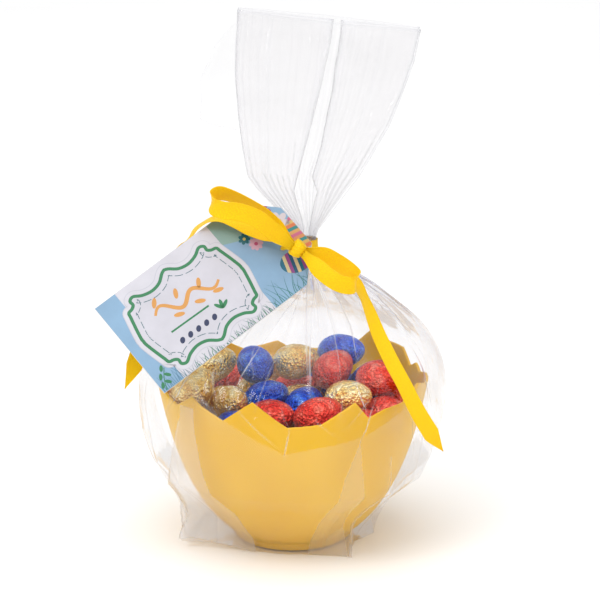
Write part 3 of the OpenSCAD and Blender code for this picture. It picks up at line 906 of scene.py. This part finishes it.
def build_flap():
    rows = np.array(FLAP_ROWS, float)
    dense = np.array([catmull(r, 8) for r in rows])
    dense = np.array([catmull(dense[:, k], 6) for k in range(dense.shape[1])]).transpose(1, 0, 2)
    n, m, _ = dense.shape
    u = np.linspace(0, 1, m)
    y = -2.5 - 3.0 * np.sin(np.pi * u)[None, :] * np.linspace(0.3, 1, n)[:, None]
    y = np.broadcast_to(y, (n, m))
    verts = np.stack([dense[..., 0], y, dense[..., 1]], -1).reshape(-1, 3)
    verts[:, 1] += crumple(verts, 51, 14) * 0.6
    # painted reflection: faint all over the flap, stronger along its edges
    painted_reflection = np.full((n, m), 0.05)
    painted_reflection[:, 0] = painted_reflection[0] = painted_reflection[-1] = 0.3
    return verts, grid_faces(n, m, False), painted_reflection.ravel()


mouth_verts, mouth_faces, mouth_painted_reflection = build_film_mouth()
flap_verts, flap_faces, flap_painted_reflection = build_flap()
mouth_faces += [tuple(i + len(mouth_verts) for i in f) for f in flap_faces]
film_mouth = make_object("film_mouth", np.vstack([mouth_verts, flap_verts]), mouth_faces,
                         [TUFT_FILM])
set_attribute(film_mouth, "painted_reflection", np.concatenate([mouth_painted_reflection, flap_painted_reflection]))
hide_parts("mouth_front_panel", "mouth_back_panel", "mouth_left_gusset",
            "mouth_right_gusset", "mouth_flap")
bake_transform(film_mouth)

# ---------------------------------------------------------------- ribbon
# the ribbon's width and thickness
RIBBON_W = 10
RIBBON_T = 0.5


def ribbon_strip(name, route, body, node, width=RIBBON_W, point=0.0, steps=10, cup=0.5, pinch=""):
    """A satin strip along a route of [x, y, z, width direction].

    point is the length of its cut tip; pinch names the ends drawn in at the knot.
    """
    p = catmull(route, steps)
    c, raw = p[:, :3], p[:, 3:6]
    along = unit_rows(np.gradient(c, axis=0))
    side = unit_rows(raw - (raw * along).sum(1)[:, None] * along)
    face = np.cross(along, side)
    s = np.concatenate([[0], np.cumsum(np.linalg.norm(np.diff(c, axis=0), axis=1))])
    w = np.full(len(c), width / 2.0)
    gather = np.zeros(len(c))
    if "start" in pinch:
        gather = np.maximum(gather, 1 - smoothstep(1, 15, s))
    if "end" in pinch:
        gather = np.maximum(gather, 1 - smoothstep(1, 15, s[-1] - s))
    w *= 1 - 0.5 * gather
    if point:
        w = np.minimum(w, width / 2 * np.clip((s[-1] - s) / point, 0.04, 1))
    across = np.array([-1, -0.93, -0.7, -0.4, 0, 0.4, 0.7, 0.93, 1])
    thick = np.array([0.34, 0.30, 0.2, 0.2, 0.2, 0.2, 0.2, 0.30, 0.34])
    verts, uvs = [], []
    for sign in (1, -1):
        rib = np.array([0, 0.5, -0.6, 0.8, -0.7, 0.7, -0.8, 0.5, 0])
        sag = (cup * (across ** 2 - 0.5)[None, :] + 0.7 * gather[:, None] * rib[None, :])
        sag = sag[..., None] * face[:, None, :]
        q = (c[:, None, :] + side[:, None, :] * (across[None, :] * w[:, None])[..., None]
             + sag + sign * thick[None, :, None] * face[:, None, :] * RIBBON_T)
        verts.append(q)
        uvs.append(np.stack(np.broadcast_arrays(s[:, None] * MM, across[None, :] * width / 2 * MM), -1))
    n, m = len(c), len(across)
    faces = grid_faces(n, m, False)
    back = [quad[::-1] for quad in grid_faces(n, m, False, n * m)]
    edges = []
    for i in range(n - 1):
        a0, b0 = i * m, (i + 1) * m
        edges.append((a0, b0, b0 + n * m, a0 + n * m))
        edges.append((a0 + m - 1, a0 + m - 1 + n * m, b0 + m - 1 + n * m, b0 + m - 1))
    for i in range(m - 1):
        edges.append((i, i + n * m, i + 1 + n * m, i + 1))
        k = (n - 1) * m + i
        edges.append((k, k + 1, k + 1 + n * m, k + n * m))
    allv = np.concatenate([v.reshape(-1, 3) for v in verts])
    alluv = np.concatenate([v.reshape(-1, 2) for v in uvs])
    obj = make_object(name, allv, faces + back + edges, [SATIN])
    set_uv(obj, alluv)
    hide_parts(node)
    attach(obj, body)
    return obj


LOOP_LEFT = [
    (0.5, -33.5, 183.8, 0.57, 0, 0.82), (-6.5, -33, 191, 0.57, 0, 0.82),
    (-15, -33, 200.5, 0.5, -0.4, 0.75), (-24, -34, 207.5, 0.4, -0.6, 0.65),
    (-33, -36, 212.5, 0.25, -0.6, 0.75), (-41, -38.5, 215, 0.1, -0.4, 0.9),
    (-45, -42.5, 213, 0.05, -0.1, 1), (-43.5, -47, 209.5, 0.1, 0, 1), (-38, -49, 208, 0.1, 0, 1),
    (-29, -49.5, 207, 0.2, 0, 1), (-19.5, -48, 203, 0.4, 0, 0.9), (-12, -44.5, 196, 0.55, 0, 0.83),
    (-5, -39.8, 189, 0.57, 0, 0.82), (0.3, -36.3, 184, 0.57, 0, 0.82)]
LOOP_RIGHT = [
    (5.8, -33.5, 181, 0.57, 0, 0.82), (17, -37, 179.5, 0.5, 0, 0.85), (25, -40, 176, 0.55, 0, 0.83),
    (31.5, -43, 172, 0.5, 0.1, 0.85), (35.5, -46.5, 168.5, 0.3, 0.1, 0.95),
    (34, -50.5, 165.5, 0.15, 0.1, 1), (28, -51.5, 166, 0.3, 0, 0.95), (21.5, -50, 169, 0.5, 0, 0.87),
    (15, -45.8, 173.5, 0.57, 0, 0.82), (5.8, -36.6, 180.6, 0.57, 0, 0.82)]
TAIL_LEFT = [
    (-3.5, -29.5, 186, 0.56, 0.4, 0.72), (-14.5, -25, 189, 0.56, 0.47, 0.68),
    (-24, -22.5, 192, 0.56, 0.5, 0.66), (-32, -20.5, 195.5, 0.45, 0.65, 0.6),
    (-39.5, -19, 197, 0.3, 0.85, 0.3), (-46.5, -17, 195.5, 0.15, 1, 0.1),
    (-52.5, -15, 191.5, 0, 1, 0), (-58, -12.5, 185.5, -0.1, 0.9, 0),
    (-63, -11.5, 178.5, 0.3, 0.8, -0.3), (-70, -15, 167, 0.7, 0.6, -0.35),
    (-77, -22, 153, 0.9, 0.4, -0.25), (-84, -31, 135, 0.9, 0.3, -0.3),
    (-89, -40, 118, 0.9, 0.3, -0.3), (-95, -48, 104, 0.9, 0.3, -0.3)]
TAIL_RIGHT = [
    (9.5, -31, 178, 0.5, 0, 0.8), (23, -30, 170, 0.5, 0.2, 0.75), (29.5, -32, 166, 0.5, 0.6, 0.6),
    (36, -36, 162, 0.35, 0.85, 0.3), (40, -40, 156, 0.35, 0.9, 0.1),
    (43.5, -44, 148.5, 0.5, 0.8, 0.1), (48.5, -51, 136.5, 0.7, 0.65, 0.12),
    (55.5, -58, 123, 0.8, 0.6, 0.15), (62, -63.5, 112, 0.8, 0.6, 0.15),
    (69.5, -66.5, 97.5, 0.85, 0.55, 0.2), (78, -66, 83, 0.9, 0.5, 0.3), (85, -62, 71.5, 0.8, 0.4, 0.4)]
KNOT = np.array([3, -34.5, 182.5])
KNOT_AXIS = np.array([math.sin(math.radians(35)), 0, math.cos(math.radians(35))])


def build_knot():
    """The crossing turn: a pulled-in band of ribbon with creases running round it."""
    side = np.cross(KNOT_AXIS, (0, 1, 0))
    other = np.cross(KNOT_AXIS, side)
    around, steps = 72, 26
    s = np.linspace(-1, 1, steps)
    f = 2 * np.pi * np.arange(around) / around
    ss, ff = np.meshgrid(s, f, indexing="ij")
    r = 3.9 - 0.7 * np.abs(ss) ** 3
    r += 0.5 * (fold_wave(ss * 2.1 + 0.25 * np.sin(ff * 2)) - 0.5) * (1 - ss ** 2)
    r += 0.3 * smoothstep(-0.3, 0.1, np.sin(ff - 0.8)) * (1 - 0.3 * np.abs(ss))
    r = np.minimum(r, 4.4)
    t = ss * 4.4 * (1 + 0.12 * np.cos(ff))
    rows = [np.stack([r * 0.55 * np.cos(ff), r * 0.55 * np.sin(ff), t * 0.82], -1)[0]]
    rows += list(np.stack([r * np.cos(ff), r * np.sin(ff), t], -1))
    rows.append(np.stack([r * 0.55 * np.cos(ff), r * 0.55 * np.sin(ff), t * 0.82], -1)[-1])
    local = np.vstack([*rows, [[0, 0, -3.2], [0, 0, 3.2]]])
    verts = KNOT + local[:, :1] * side + local[:, 1:2] * other + local[:, 2:] * KNOT_AXIS
    obj = make_object("bow_knot", verts, closed_tube(local, around, len(rows)), [SATIN])
    set_uv(obj, np.stack([np.arctan2(local[:, 1], local[:, 0]) * 4.2 * MM, local[:, 2] * MM], -1))
    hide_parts("ribbon_knot")
    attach(obj, "wrapped_bowl")


# the ribbon's turn round the neck: axis x, height, first radius and what each ply adds
NECK_X, NECK_Z, NECK_R, NECK_GROWTH = 8, 176.0, 6.3, 0.62


def neck_route():
    """The ribbon's turn and a half round the gathered film."""
    route = []
    for a in np.arange(0, 541, 30):
        r = NECK_R + NECK_GROWTH * a / 540
        c, s = math.cos(math.radians(a - 90)), math.sin(math.radians(a - 90))
        z = NECK_Z + 0.15 * math.sin(a / 60)
        route.append((NECK_X + r * c, r * s, z, -0.12 * c, -0.12 * s, 1))
    return route


build_knot()
ribbon_strip("bow_loop_left_satin", LOOP_LEFT, "loop_left", "bow_loop_left", pinch="start end")
ribbon_strip("bow_loop_right_satin", LOOP_RIGHT, "loop_right", "bow_loop_right", pinch="start end")
ribbon_strip("tail_left_satin", TAIL_LEFT, "tail_left", "ribbon_tail_left", point=14,
             cup=0.1, pinch="start")
ribbon_strip("tail_right_satin", TAIL_RIGHT, "tail_right", "ribbon_tail_right", point=14,
             pinch="start")
ribbon_strip("neck_wrap_satin", neck_route(), "wrapped_bowl", "ribbon_neck_wrap",
             width=8.0, cup=0.25, steps=6)

# ---------------------------------------------------------------- tag
# the card's hole, its lean back and its turn, and its axes: along, across and out of its face
TAG_HOLE = np.array([-5.5, -25.5, 178.8])
LEAN, TURN = math.radians(55), math.radians(39)
TAG_N = np.array([0, -math.sin(LEAN), math.cos(LEAN)])
ACROSS = np.array([0, math.cos(LEAN), math.sin(LEAN)])
TAG_U = math.cos(TURN) * np.array([1, 0, 0]) + math.sin(TURN) * ACROSS
TAG_V = -math.sin(TURN) * np.array([1, 0, 0]) + math.cos(TURN) * ACROSS
TAG_T = 0.6
# the card's ends and sides from the hole, and its cut corners
U0, U1, V0, V1, CUT = -104, 16, -24.5, 39.5, 18
TAG_OUTLINE = [(U0, V0), (U1 - CUT, V0), (U1, V0 + CUT), (U1, V1 - CUT), (U1 - CUT, V1), (U0, V1)]


def on_tag(uv, lift):
    uv = np.asarray(uv, float)
    return TAG_HOLE + uv[:, :1] * TAG_U + uv[:, 1:2] * TAG_V + lift * TAG_N


def circle(u, v, r, n=40, stretch=1.0, turn=0.0):
    t = np.linspace(0, 2 * np.pi, n, endpoint=False)
    x, y = r * np.cos(t), r * stretch * np.sin(t)
    c, s = math.cos(turn), math.sin(turn)
    return np.stack([u + x * c - y * s, v + x * s + y * c], -1)


def clip_polygon(poly, inside, cross):
    out = []
    for i in range(len(poly)):
        a, b = poly[i - 1], poly[i]
        if inside(b):
            if not inside(a):
                out.append(cross(a, b))
            out.append(b)
        elif inside(a):
            out.append(cross(a, b))
    return out


def clipped(poly, margin=0.15):
    """The polygon cut to the tag's outline, less a small margin."""
    outline = TAG_OUTLINE
    poly = [np.asarray(p, float) for p in poly]
    for i in range(len(outline)):
        a, b = np.array(outline[i], float), np.array(outline[(i + 1) % len(outline)], float)
        e = (b - a) / np.linalg.norm(b - a)
        normal = np.array([-e[1], e[0]])

        def depth(p, a=a, normal=normal):
            return (p - a) @ normal - margin

        poly = clip_polygon(poly, lambda p: depth(p) >= 0,
                            lambda p, q: p + (q - p) * depth(p) / (depth(p) - depth(q)))
        if not poly:
            return []
    return poly


class Print:
    """Flat inks laid on the card, each a little above the one before."""

    def __init__(self):
        self.verts, self.faces, self.slots, self.mats, self.names = [], [], [], [], {}

    def ink(self, colour):
        if colour not in self.names:
            self.names[colour] = len(self.mats)
            self.mats.append(card_material("ink_%d_%d_%d" % colour, srgb(*colour)))
        return self.names[colour]

    def shape(self, poly, colour, lift):
        poly = clipped(poly)
        if len(poly) < 3:
            return
        base = len(self.verts)
        self.verts += list(on_tag(poly, TAG_T / 2 + lift))
        self.faces.append(tuple(range(base, base + len(poly))))
        self.slots.append(self.ink(colour))

    def band(self, centre, half_width, colour, lift, closed=False):
        """A line of that half width along a list of points."""
        c = np.asarray(centre, float)
        d = np.roll(c, -1, 0) - np.roll(c, 1, 0) if closed else np.gradient(c, axis=0)
        d /= np.maximum(np.linalg.norm(d, axis=1), 1e-9)[:, None]
        normal = np.stack([-d[:, 1], d[:, 0]], -1)
        h = np.broadcast_to(half_width, (len(c),))[:, None]
        a, b = c + normal * h, c - normal * h
        count = len(c) if closed else len(c) - 1
        for i in range(count):
            k = (i + 1) % len(c)
            self.shape([a[i], b[i], b[k], a[k]], colour, lift)


LABEL_CENTRE = np.array([-59.5, 6.8])
LABEL_QUARTER = [(0, 26.6), (2.5, 25.4), (7, 22), (13, 20.8), (19, 22.2), (23.5, 24.8), (26.4, 23.6),
                 (26.4, 20.8), (28.4, 19.2), (31.2, 18.4), (32, 15.5), (33.8, 8), (35, 2), (35, 0)]


def label_outline(grow):
    """The bracket-shaped label's edge, moved outwards by grow."""
    q = catmull(LABEL_QUARTER, 5)
    ring = np.vstack([q, (q * (1, -1))[::-1][1:], (q * (-1, -1))[1:], (q * (-1, 1))[::-1][1:-1]])
    d = np.roll(ring, -1, 0) - np.roll(ring, 1, 0)
    d /= np.maximum(np.linalg.norm(d, axis=1), 1e-9)[:, None]
    normal = np.stack([-d[:, 1], d[:, 0]], -1)
    for _ in range(4):
        normal = (np.roll(normal, 1, 0) + normal + np.roll(normal, -1, 0)) / 3
    normal /= np.linalg.norm(normal, axis=1)[:, None]
    return ring + normal * grow + LABEL_CENTRE


# printed inks
INK_BLUE, INK_PALE, INK_LILAC = (150, 190, 224), (233, 231, 240), (228, 226, 236)
INK_GREEN, INK_NAVY, INK_TEAL = (46, 140, 88), (40, 52, 96), (30, 122, 120)
INK_AMBER, INK_ORANGE = (240, 170, 84), (240, 160, 90)


def blade(p, u, v, length, lean, colour, lift, half=0.28):
    t = np.linspace(0, 1, 6)
    line = np.stack([u + lean * length * t ** 1.6, v + length * t], -1)
    p.band(line, half * (1 - 0.8 * t), colour, lift)


def print_grass(p):
    """Blades along the card's lower edge, and a sprig at its far end."""
    rng = np.random.default_rng(8)
    for i in range(46):
        u = -88 + 64 * i / 45 + rng.uniform(-0.8, 0.8)
        if abs(u + 57) > 3 or i % 2:
            blade(p, u, V0, rng.uniform(2.5, 6.5), rng.uniform(-0.5, 0.5), (88, 120, 128), 0.06, 0.2)
    for i in range(22):
        blade(p, -80 + 54 * i / 21 + rng.uniform(-1, 1), V0, rng.uniform(3, 7), rng.uniform(-0.6, 0.6),
              INK_GREEN if i % 3 else INK_TEAL, 0.07, 0.26)
    for i in range(26):
        blade(p, -24 + 38 * i / 25, V0 + rng.uniform(-1, 0.5) + max(0, i - 17) * 1.2,
              rng.uniform(6, 15), rng.uniform(-0.7, 0.7), (36, 128, 116) if i % 2 else (60, 140, 130),
              0.07, 0.24)
    for i in range(14):
        blade(p, -103 + 15 * i / 13, V0, rng.uniform(5, 12), rng.uniform(-0.5, 0.5), (52, 120, 150),
              0.07, 0.22)
    stem = [(-101.5, -24), (-99, -18), (-95, -12.5)]
    p.band(catmull(stem, 6), 0.25, INK_GREEN, 0.08)
    leaves = [(-101.8, -20.5), (-98, -20.5), (-99.8, -15.8), (-95.8, -17), (-96.6, -12)]
    for k, (u, v) in enumerate(leaves):
        p.shape(circle(u, v, 1.0, 18, 2.0, 0.7 if k % 2 else -0.6), INK_GREEN, 0.09)


def print_label(p):
    """The label, with the line round it and the dashed line inside."""
    p.shape(label_outline(3.6), (214, 214, 226), 0.08)
    p.shape(label_outline(3.2), INK_PALE, 0.10)
    p.band(label_outline(0.0), 0.95, INK_GREEN, 0.13, closed=True)
    p.shape(label_outline(-0.95), INK_LILAC, 0.12)
    inner = label_outline(-4.2)
    for i in range(0, len(inner), 4):
        k = [inner[(i + j) % len(inner)] for j in range(4)]
        p.band(k, 0.2, (52, 110, 120), 0.14)


def print_ornament(p):
    """Generic ornament in place of the printed words: a scroll with leaves, a rule, and buds."""
    t = np.linspace(0, 1, 60)
    scroll = np.stack([-80 + 41 * t, 14.5 - 5 * t + 4.0 * np.sin(t * 4 * np.pi) * (1 - 0.3 * t)], -1)
    p.band(scroll, 0.75 + 0.5 * np.sin(t * np.pi), INK_AMBER, 0.14)
    for k, (u, v, turn) in enumerate([(-76, 21, 0.9), (-69, 6.8, -0.4), (-63, 18, 1.1),
                                      (-55, 5.8, -0.5), (-49, 15, 1.0), (-43, 4.6, -0.3)]):
        p.shape(circle(u, v, 3.2, 28, 0.42, turn), INK_AMBER, 0.14)
    p.band([(-79, 1.2), (-66, 0.9), (-53, 0.6)], 0.55, INK_GREEN, 0.14)
    for k in range(5):
        u = -77 + 5.6 * k
        p.shape(circle(u, -6.4 - 0.1 * k, 2.0, 28, 0.72, 0.9), INK_NAVY, 0.14)
    for turn in (0.5, 1.3, 2.1):
        u, v = -47.5 + 2.6 * math.cos(turn), -5.5 + 2.6 * math.sin(turn)
        p.shape(circle(u, v, 2.9, 28, 0.36, turn), INK_GREEN, 0.14)


def flower(p, u, v, r, petals, colour, heart, lift):
    for k in range(petals):
        a = 2 * math.pi * k / petals + 0.3
        p.shape(circle(u + r * 0.62 * math.cos(a), v + r * 0.62 * math.sin(a), r * 0.42, 18,
                       0.72, a), colour, lift + 0.002 * k)
    p.shape(circle(u, v, r * 0.28, 16), heart, lift + 0.03)


def striped_egg(p, u, v, r, stretch, turn, colours, lift):
    c, s = math.cos(turn), math.sin(turn)
    edge = circle(0, 0, r, 48, stretch)
    p.shape([(u + x * c - y * s, v + x * s + y * c) for x, y in edge], colours[0], lift)
    count = len(colours) - 1
    for k in range(count):
        lo = -stretch * r * 0.94 + 2 * stretch * r * 0.94 * k / count
        hi = lo + 2 * stretch * r * 0.94 / count * 0.98
        top, bottom = [], []
        for x in np.linspace(lo, hi, 5):
            w = r * math.sqrt(max(0, 1 - (x / (stretch * r)) ** 2)) * 0.995
            top.append((w, x))
            bottom.append((-w, x))
        poly = []
        for y, x in top + bottom[::-1]:
            poly.append((u + y * c - x * s, v + y * s + x * c))
        p.shape(poly, colours[k + 1], lift + 0.01)


def build_tag_print():
    p = Print()
    p.shape([(U0, V0), (U1, V0), (U1, V1), (U0, V1)], INK_BLUE, 0.02)
    p.shape([(-26, 25), (-8, 17), (2, 26), (4, 40), (-26, 40)], (150, 186, 178), 0.03)
    p.shape([(-90, V0), (-24.5, V0), (-24.5, V1), (-90, V1)], INK_PALE, 0.04)
    print_grass(p)
    print_label(p)
    print_ornament(p)

    # flowers and striped eggs at the hole end
    flower(p, 5, 27, 6, 7, (196, 40, 110), (120, 20, 70), 0.05)
    flower(p, 9.5, 15.5, 6, 6, (238, 226, 232), (240, 190, 70), 0.05)
    flower(p, -12.5, 19.5, 3.4, 7, (24, 116, 128), (236, 214, 120), 0.05)
    flower(p, -9, 13, 4.0, 8, (240, 190, 214), (214, 90, 140), 0.06)
    striped_egg(p, 15.5, 3.5, 7.6, 1.45, -0.2,
                [INK_ORANGE, (240, 120, 70), (236, 190, 90), (40, 150, 150), INK_ORANGE, (226, 110, 150),
                 (240, 180, 100), (40, 150, 150), (240, 130, 70), (240, 200, 120), (226, 110, 150)], 0.05)
    striped_egg(p, 2.0, -9.5, 6.9, 1.35, 1.25,
                [(30, 110, 140), (24, 120, 150), (240, 220, 170), (170, 80, 160), (24, 120, 150),
                 (240, 220, 170), (30, 100, 140), (170, 80, 160), (240, 220, 170), (24, 120, 150)], 0.05)
    return p


def build_tag():
    """The card with its punched hole, softened edges and the printed inks, as one piece."""
    hole = circle(0, 0, 3.4, 48)
    bm = bmesh.new()
    rim = [(a, b) for a, b in TAG_OUTLINE]
    outer = []
    for i in range(len(rim)):
        a, b = np.array(rim[i], float), np.array(rim[(i + 1) % len(rim)], float)
        steps = max(2, int(np.linalg.norm(b - a) / 6))
        outer += [a + (b - a) * k / steps for k in range(steps)]
    loops = []
    for ring in (outer, hole):
        vs = [bm.verts.new((q[0], q[1], -TAG_T / 2)) for q in ring]
        loops.append(vs)
        for i in range(len(vs)):
            bm.edges.new((vs[i], vs[(i + 1) % len(vs)]))
    bmesh.ops.triangle_fill(bm, edges=bm.edges[:], use_beauty=True)
    lower = bm.faces[:]
    made = bmesh.ops.extrude_face_region(bm, geom=lower)
    for v in made["geom"]:
        if isinstance(v, bmesh.types.BMVert):
            v.co.z = TAG_T / 2
    bmesh.ops.recalc_face_normals(bm, faces=bm.faces[:])
    sharp = [e for e in bm.edges if len(e.link_faces) == 2 and e.calc_face_angle() > 1.2
             and abs(e.verts[0].co.z - e.verts[1].co.z) < 0.01]
    bmesh.ops.bevel(bm, geom=sharp, offset=0.09, segments=2, affect="EDGES")
    bm.verts.ensure_lookup_table()
    pts = np.array([v.co[:] for v in bm.verts])
    faces = [tuple(v.index for v in f.verts) for f in bm.faces]
    bm.free()
    p = build_tag_print()
    verts = np.vstack([TAG_HOLE + pts[:, :1] * TAG_U + pts[:, 1:2] * TAG_V + pts[:, 2:] * TAG_N,
                       np.array(p.verts)])
    card = card_material("card_stock", srgb(240, 240, 242), 0.03, 0.5)
    slots = [0] * len(faces) + [s + 1 for s in p.slots]
    faces += [tuple(i + len(pts) for i in f) for f in p.faces]
    obj = make_object("tag_card_printed", verts, faces, [card] + p.mats, False, slots)
    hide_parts("tag_card")
    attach(obj, "tag")


build_tag()


# the ribbon passes the hole a little to one side of its middle
STRAND_AT = TAG_HOLE + 1.4 * TAG_U + 0.9 * TAG_V


def build_strand():
    """Ribbon bunched to pass the hole: a short pleated rope with splayed ends."""
    around, steps = 60, 16
    s = np.linspace(-2.0, 2.0, steps)
    f = 2 * np.pi * np.arange(around) / around
    ss, ff = np.meshgrid(s, f, indexing="ij")
    r = (1.3 + 0.2 * np.abs(ss / 2) ** 2) * (1 - 0.2 * fold_wave(ff * 7 / (2 * np.pi) + ss * 0.08))
    local = np.stack([r * np.cos(ff), r * np.sin(ff), ss], -1).reshape(-1, 3)
    local = np.vstack([local, [[0, 0, -1.7], [0, 0, 1.7]]])
    verts = STRAND_AT + local[:, :1] * TAG_U + local[:, 1:2] * TAG_V + local[:, 2:] * TAG_N
    obj = make_object("tag_strand_satin", verts, closed_tube(local, around, steps), [SATIN])
    set_uv(obj, np.stack([local[:, 2] * MM, np.arctan2(local[:, 1], local[:, 0]) * 2 * MM], -1))
    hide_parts("tag_strand")
    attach(obj, "tag_tie")


build_strand()


def build_tie_run():
    """The bunched ribbon from the knot through the tag's hole back to the neck."""
    around, thick = 48, 1.15
    route = [KNOT + (-1.5, 1.5, -1), STRAND_AT + 2 * TAG_N, STRAND_AT - 2 * TAG_N,
             (2, -14, 176.5), (7, -6.8, 176)]
    line = catmull(route, 10)
    along = unit_rows(np.gradient(line, axis=0))
    side = unit_rows(np.cross(along, (0, 0, 1)))
    up = np.cross(side, along)
    turn = 2 * np.pi * np.arange(around) / around
    run = np.concatenate([[0], np.cumsum(np.linalg.norm(np.diff(line, axis=0), axis=1))])
    verts, uv = [], []
    for i, point in enumerate(line):
        r = thick * (1 - 0.2 * fold_wave(turn * 7 / (2 * np.pi) + run[i] * 0.03))
        verts.append(point + np.outer(r * np.cos(turn), side[i]) + np.outer(r * np.sin(turn), up[i]))
        uv.append(np.column_stack([np.full(around, run[i]), turn * 2]) * MM)
    verts = np.vstack([*verts, line[:1], line[-1:]])
    obj = make_object("tie_run_satin", verts, closed_tube(verts, around, len(line)), [SATIN])
    set_uv(obj, np.vstack([*uv, [[0, 0]], [[run[-1] * MM, 0]]]))
    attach(obj, "wrapped_bowl")


build_tie_run()


# ---------------------------------------------------------------- stage, light and camera
def build_stage():
    n = Nodes("studio_floor")
    where = n.add("TexCoord")
    noise = n.add("TexNoise", Scale=3.0, Detail=2.0)
    n.link(where, "Object", noise, "Vector")
    tint = n.ramp(noise, "Fac", [(0.3, (0.90, 0.90, 0.90)), (0.7, (0.92, 0.92, 0.92))])
    p = n.add("BsdfPrincipled", Roughness=0.7)
    n.link(tint, "Color", p, "Base Color")
    side, rear, z = 3000, 5000, -0.3
    corners = [(-side, -side, z), (side, -side, z), (side, rear, z), (-side, rear, z)]
    floor = make_object("studio_floor", corners, [(0, 1, 2, 3)], [n.surface(p)], False)

    world = bpy.data.worlds.new("studio")
    bpy.context.scene.world = world
    world.use_nodes = True
    tree = world.node_tree
    back = tree.nodes["Background"]
    back.inputs["Color"].default_value = (1, 1, 1, 1)
    back.inputs["Strength"].default_value = 0.68
    seen = tree.nodes.new("ShaderNodeBackground")
    seen.inputs["Color"].default_value = (1, 1, 1, 1)
    seen.inputs["Strength"].default_value = 1.02
    path = tree.nodes.new("ShaderNodeLightPath")
    mix = tree.nodes.new("ShaderNodeMixShader")
    tree.links.new(path.outputs["Is Camera Ray"], mix.inputs["Fac"])
    tree.links.new(back.outputs[0], mix.inputs[1])
    tree.links.new(seen.outputs[0], mix.inputs[2])
    tree.links.new(mix.outputs[0], tree.nodes["World Output"].inputs["Surface"])


def area_light(name, at, target, size, power, colour=(1, 1, 1)):
    data = bpy.data.lights.new(name, "AREA")
    data.shape = "RECTANGLE"
    data.size, data.size_y = size
    data.energy = power
    data.color = colour
    obj = bpy.data.objects.new(name, data)
    obj.location = at
    obj.rotation_euler = (Vector(target) - Vector(at)).to_track_quat("-Z", "Y").to_euler()
    bpy.context.scene.collection.objects.link(obj)


def sun_light(name, direction, strength, spread):
    data = bpy.data.lights.new(name, "SUN")
    data.energy = strength
    data.angle = math.radians(spread)
    obj = bpy.data.objects.new(name, data)
    obj.rotation_euler = Vector(direction).to_track_quat("-Z", "Y").to_euler()
    bpy.context.scene.collection.objects.link(obj)


build_stage()
sun_light("overhead", (0.12, 0.1, -1), 1.35, 60)
area_light("key", (-0.9, -0.9, 1.5), (0, 0, 0.1), (0.6, 0.6), 9)
area_light("fill", (1.3, -0.8, 0.9), (0, 0, 0.1), (0.9, 1.2), 5)
area_light("glint", (0.35, -1.3, 1.0), (0, 0, 0.12), (0.12, 0.35), 1.5)
area_light("glint_left", (-1.2, -0.9, 0.5), (0, 0, 0.12), (0.1, 0.5), 1.5)

# the camera stands 1.2 m in front and looks 15 degrees down
CAMERA_AT = (0.00426, -1.20655, 0.46994)
CAMERA_DOWN = math.radians(15.151)
CAMERA_LENS = 128.53
camera_data = bpy.data.cameras.new("camera")
camera_data.lens = CAMERA_LENS
camera_data.sensor_width = 36
camera = bpy.data.objects.new("camera", camera_data)
camera.location = CAMERA_AT
camera.rotation_euler = (math.radians(90) - CAMERA_DOWN, 0, 0)
bpy.context.scene.collection.objects.link(camera)
bpy.context.scene.camera = camera
bpy.context.scene.view_settings.view_transform = "Standard"
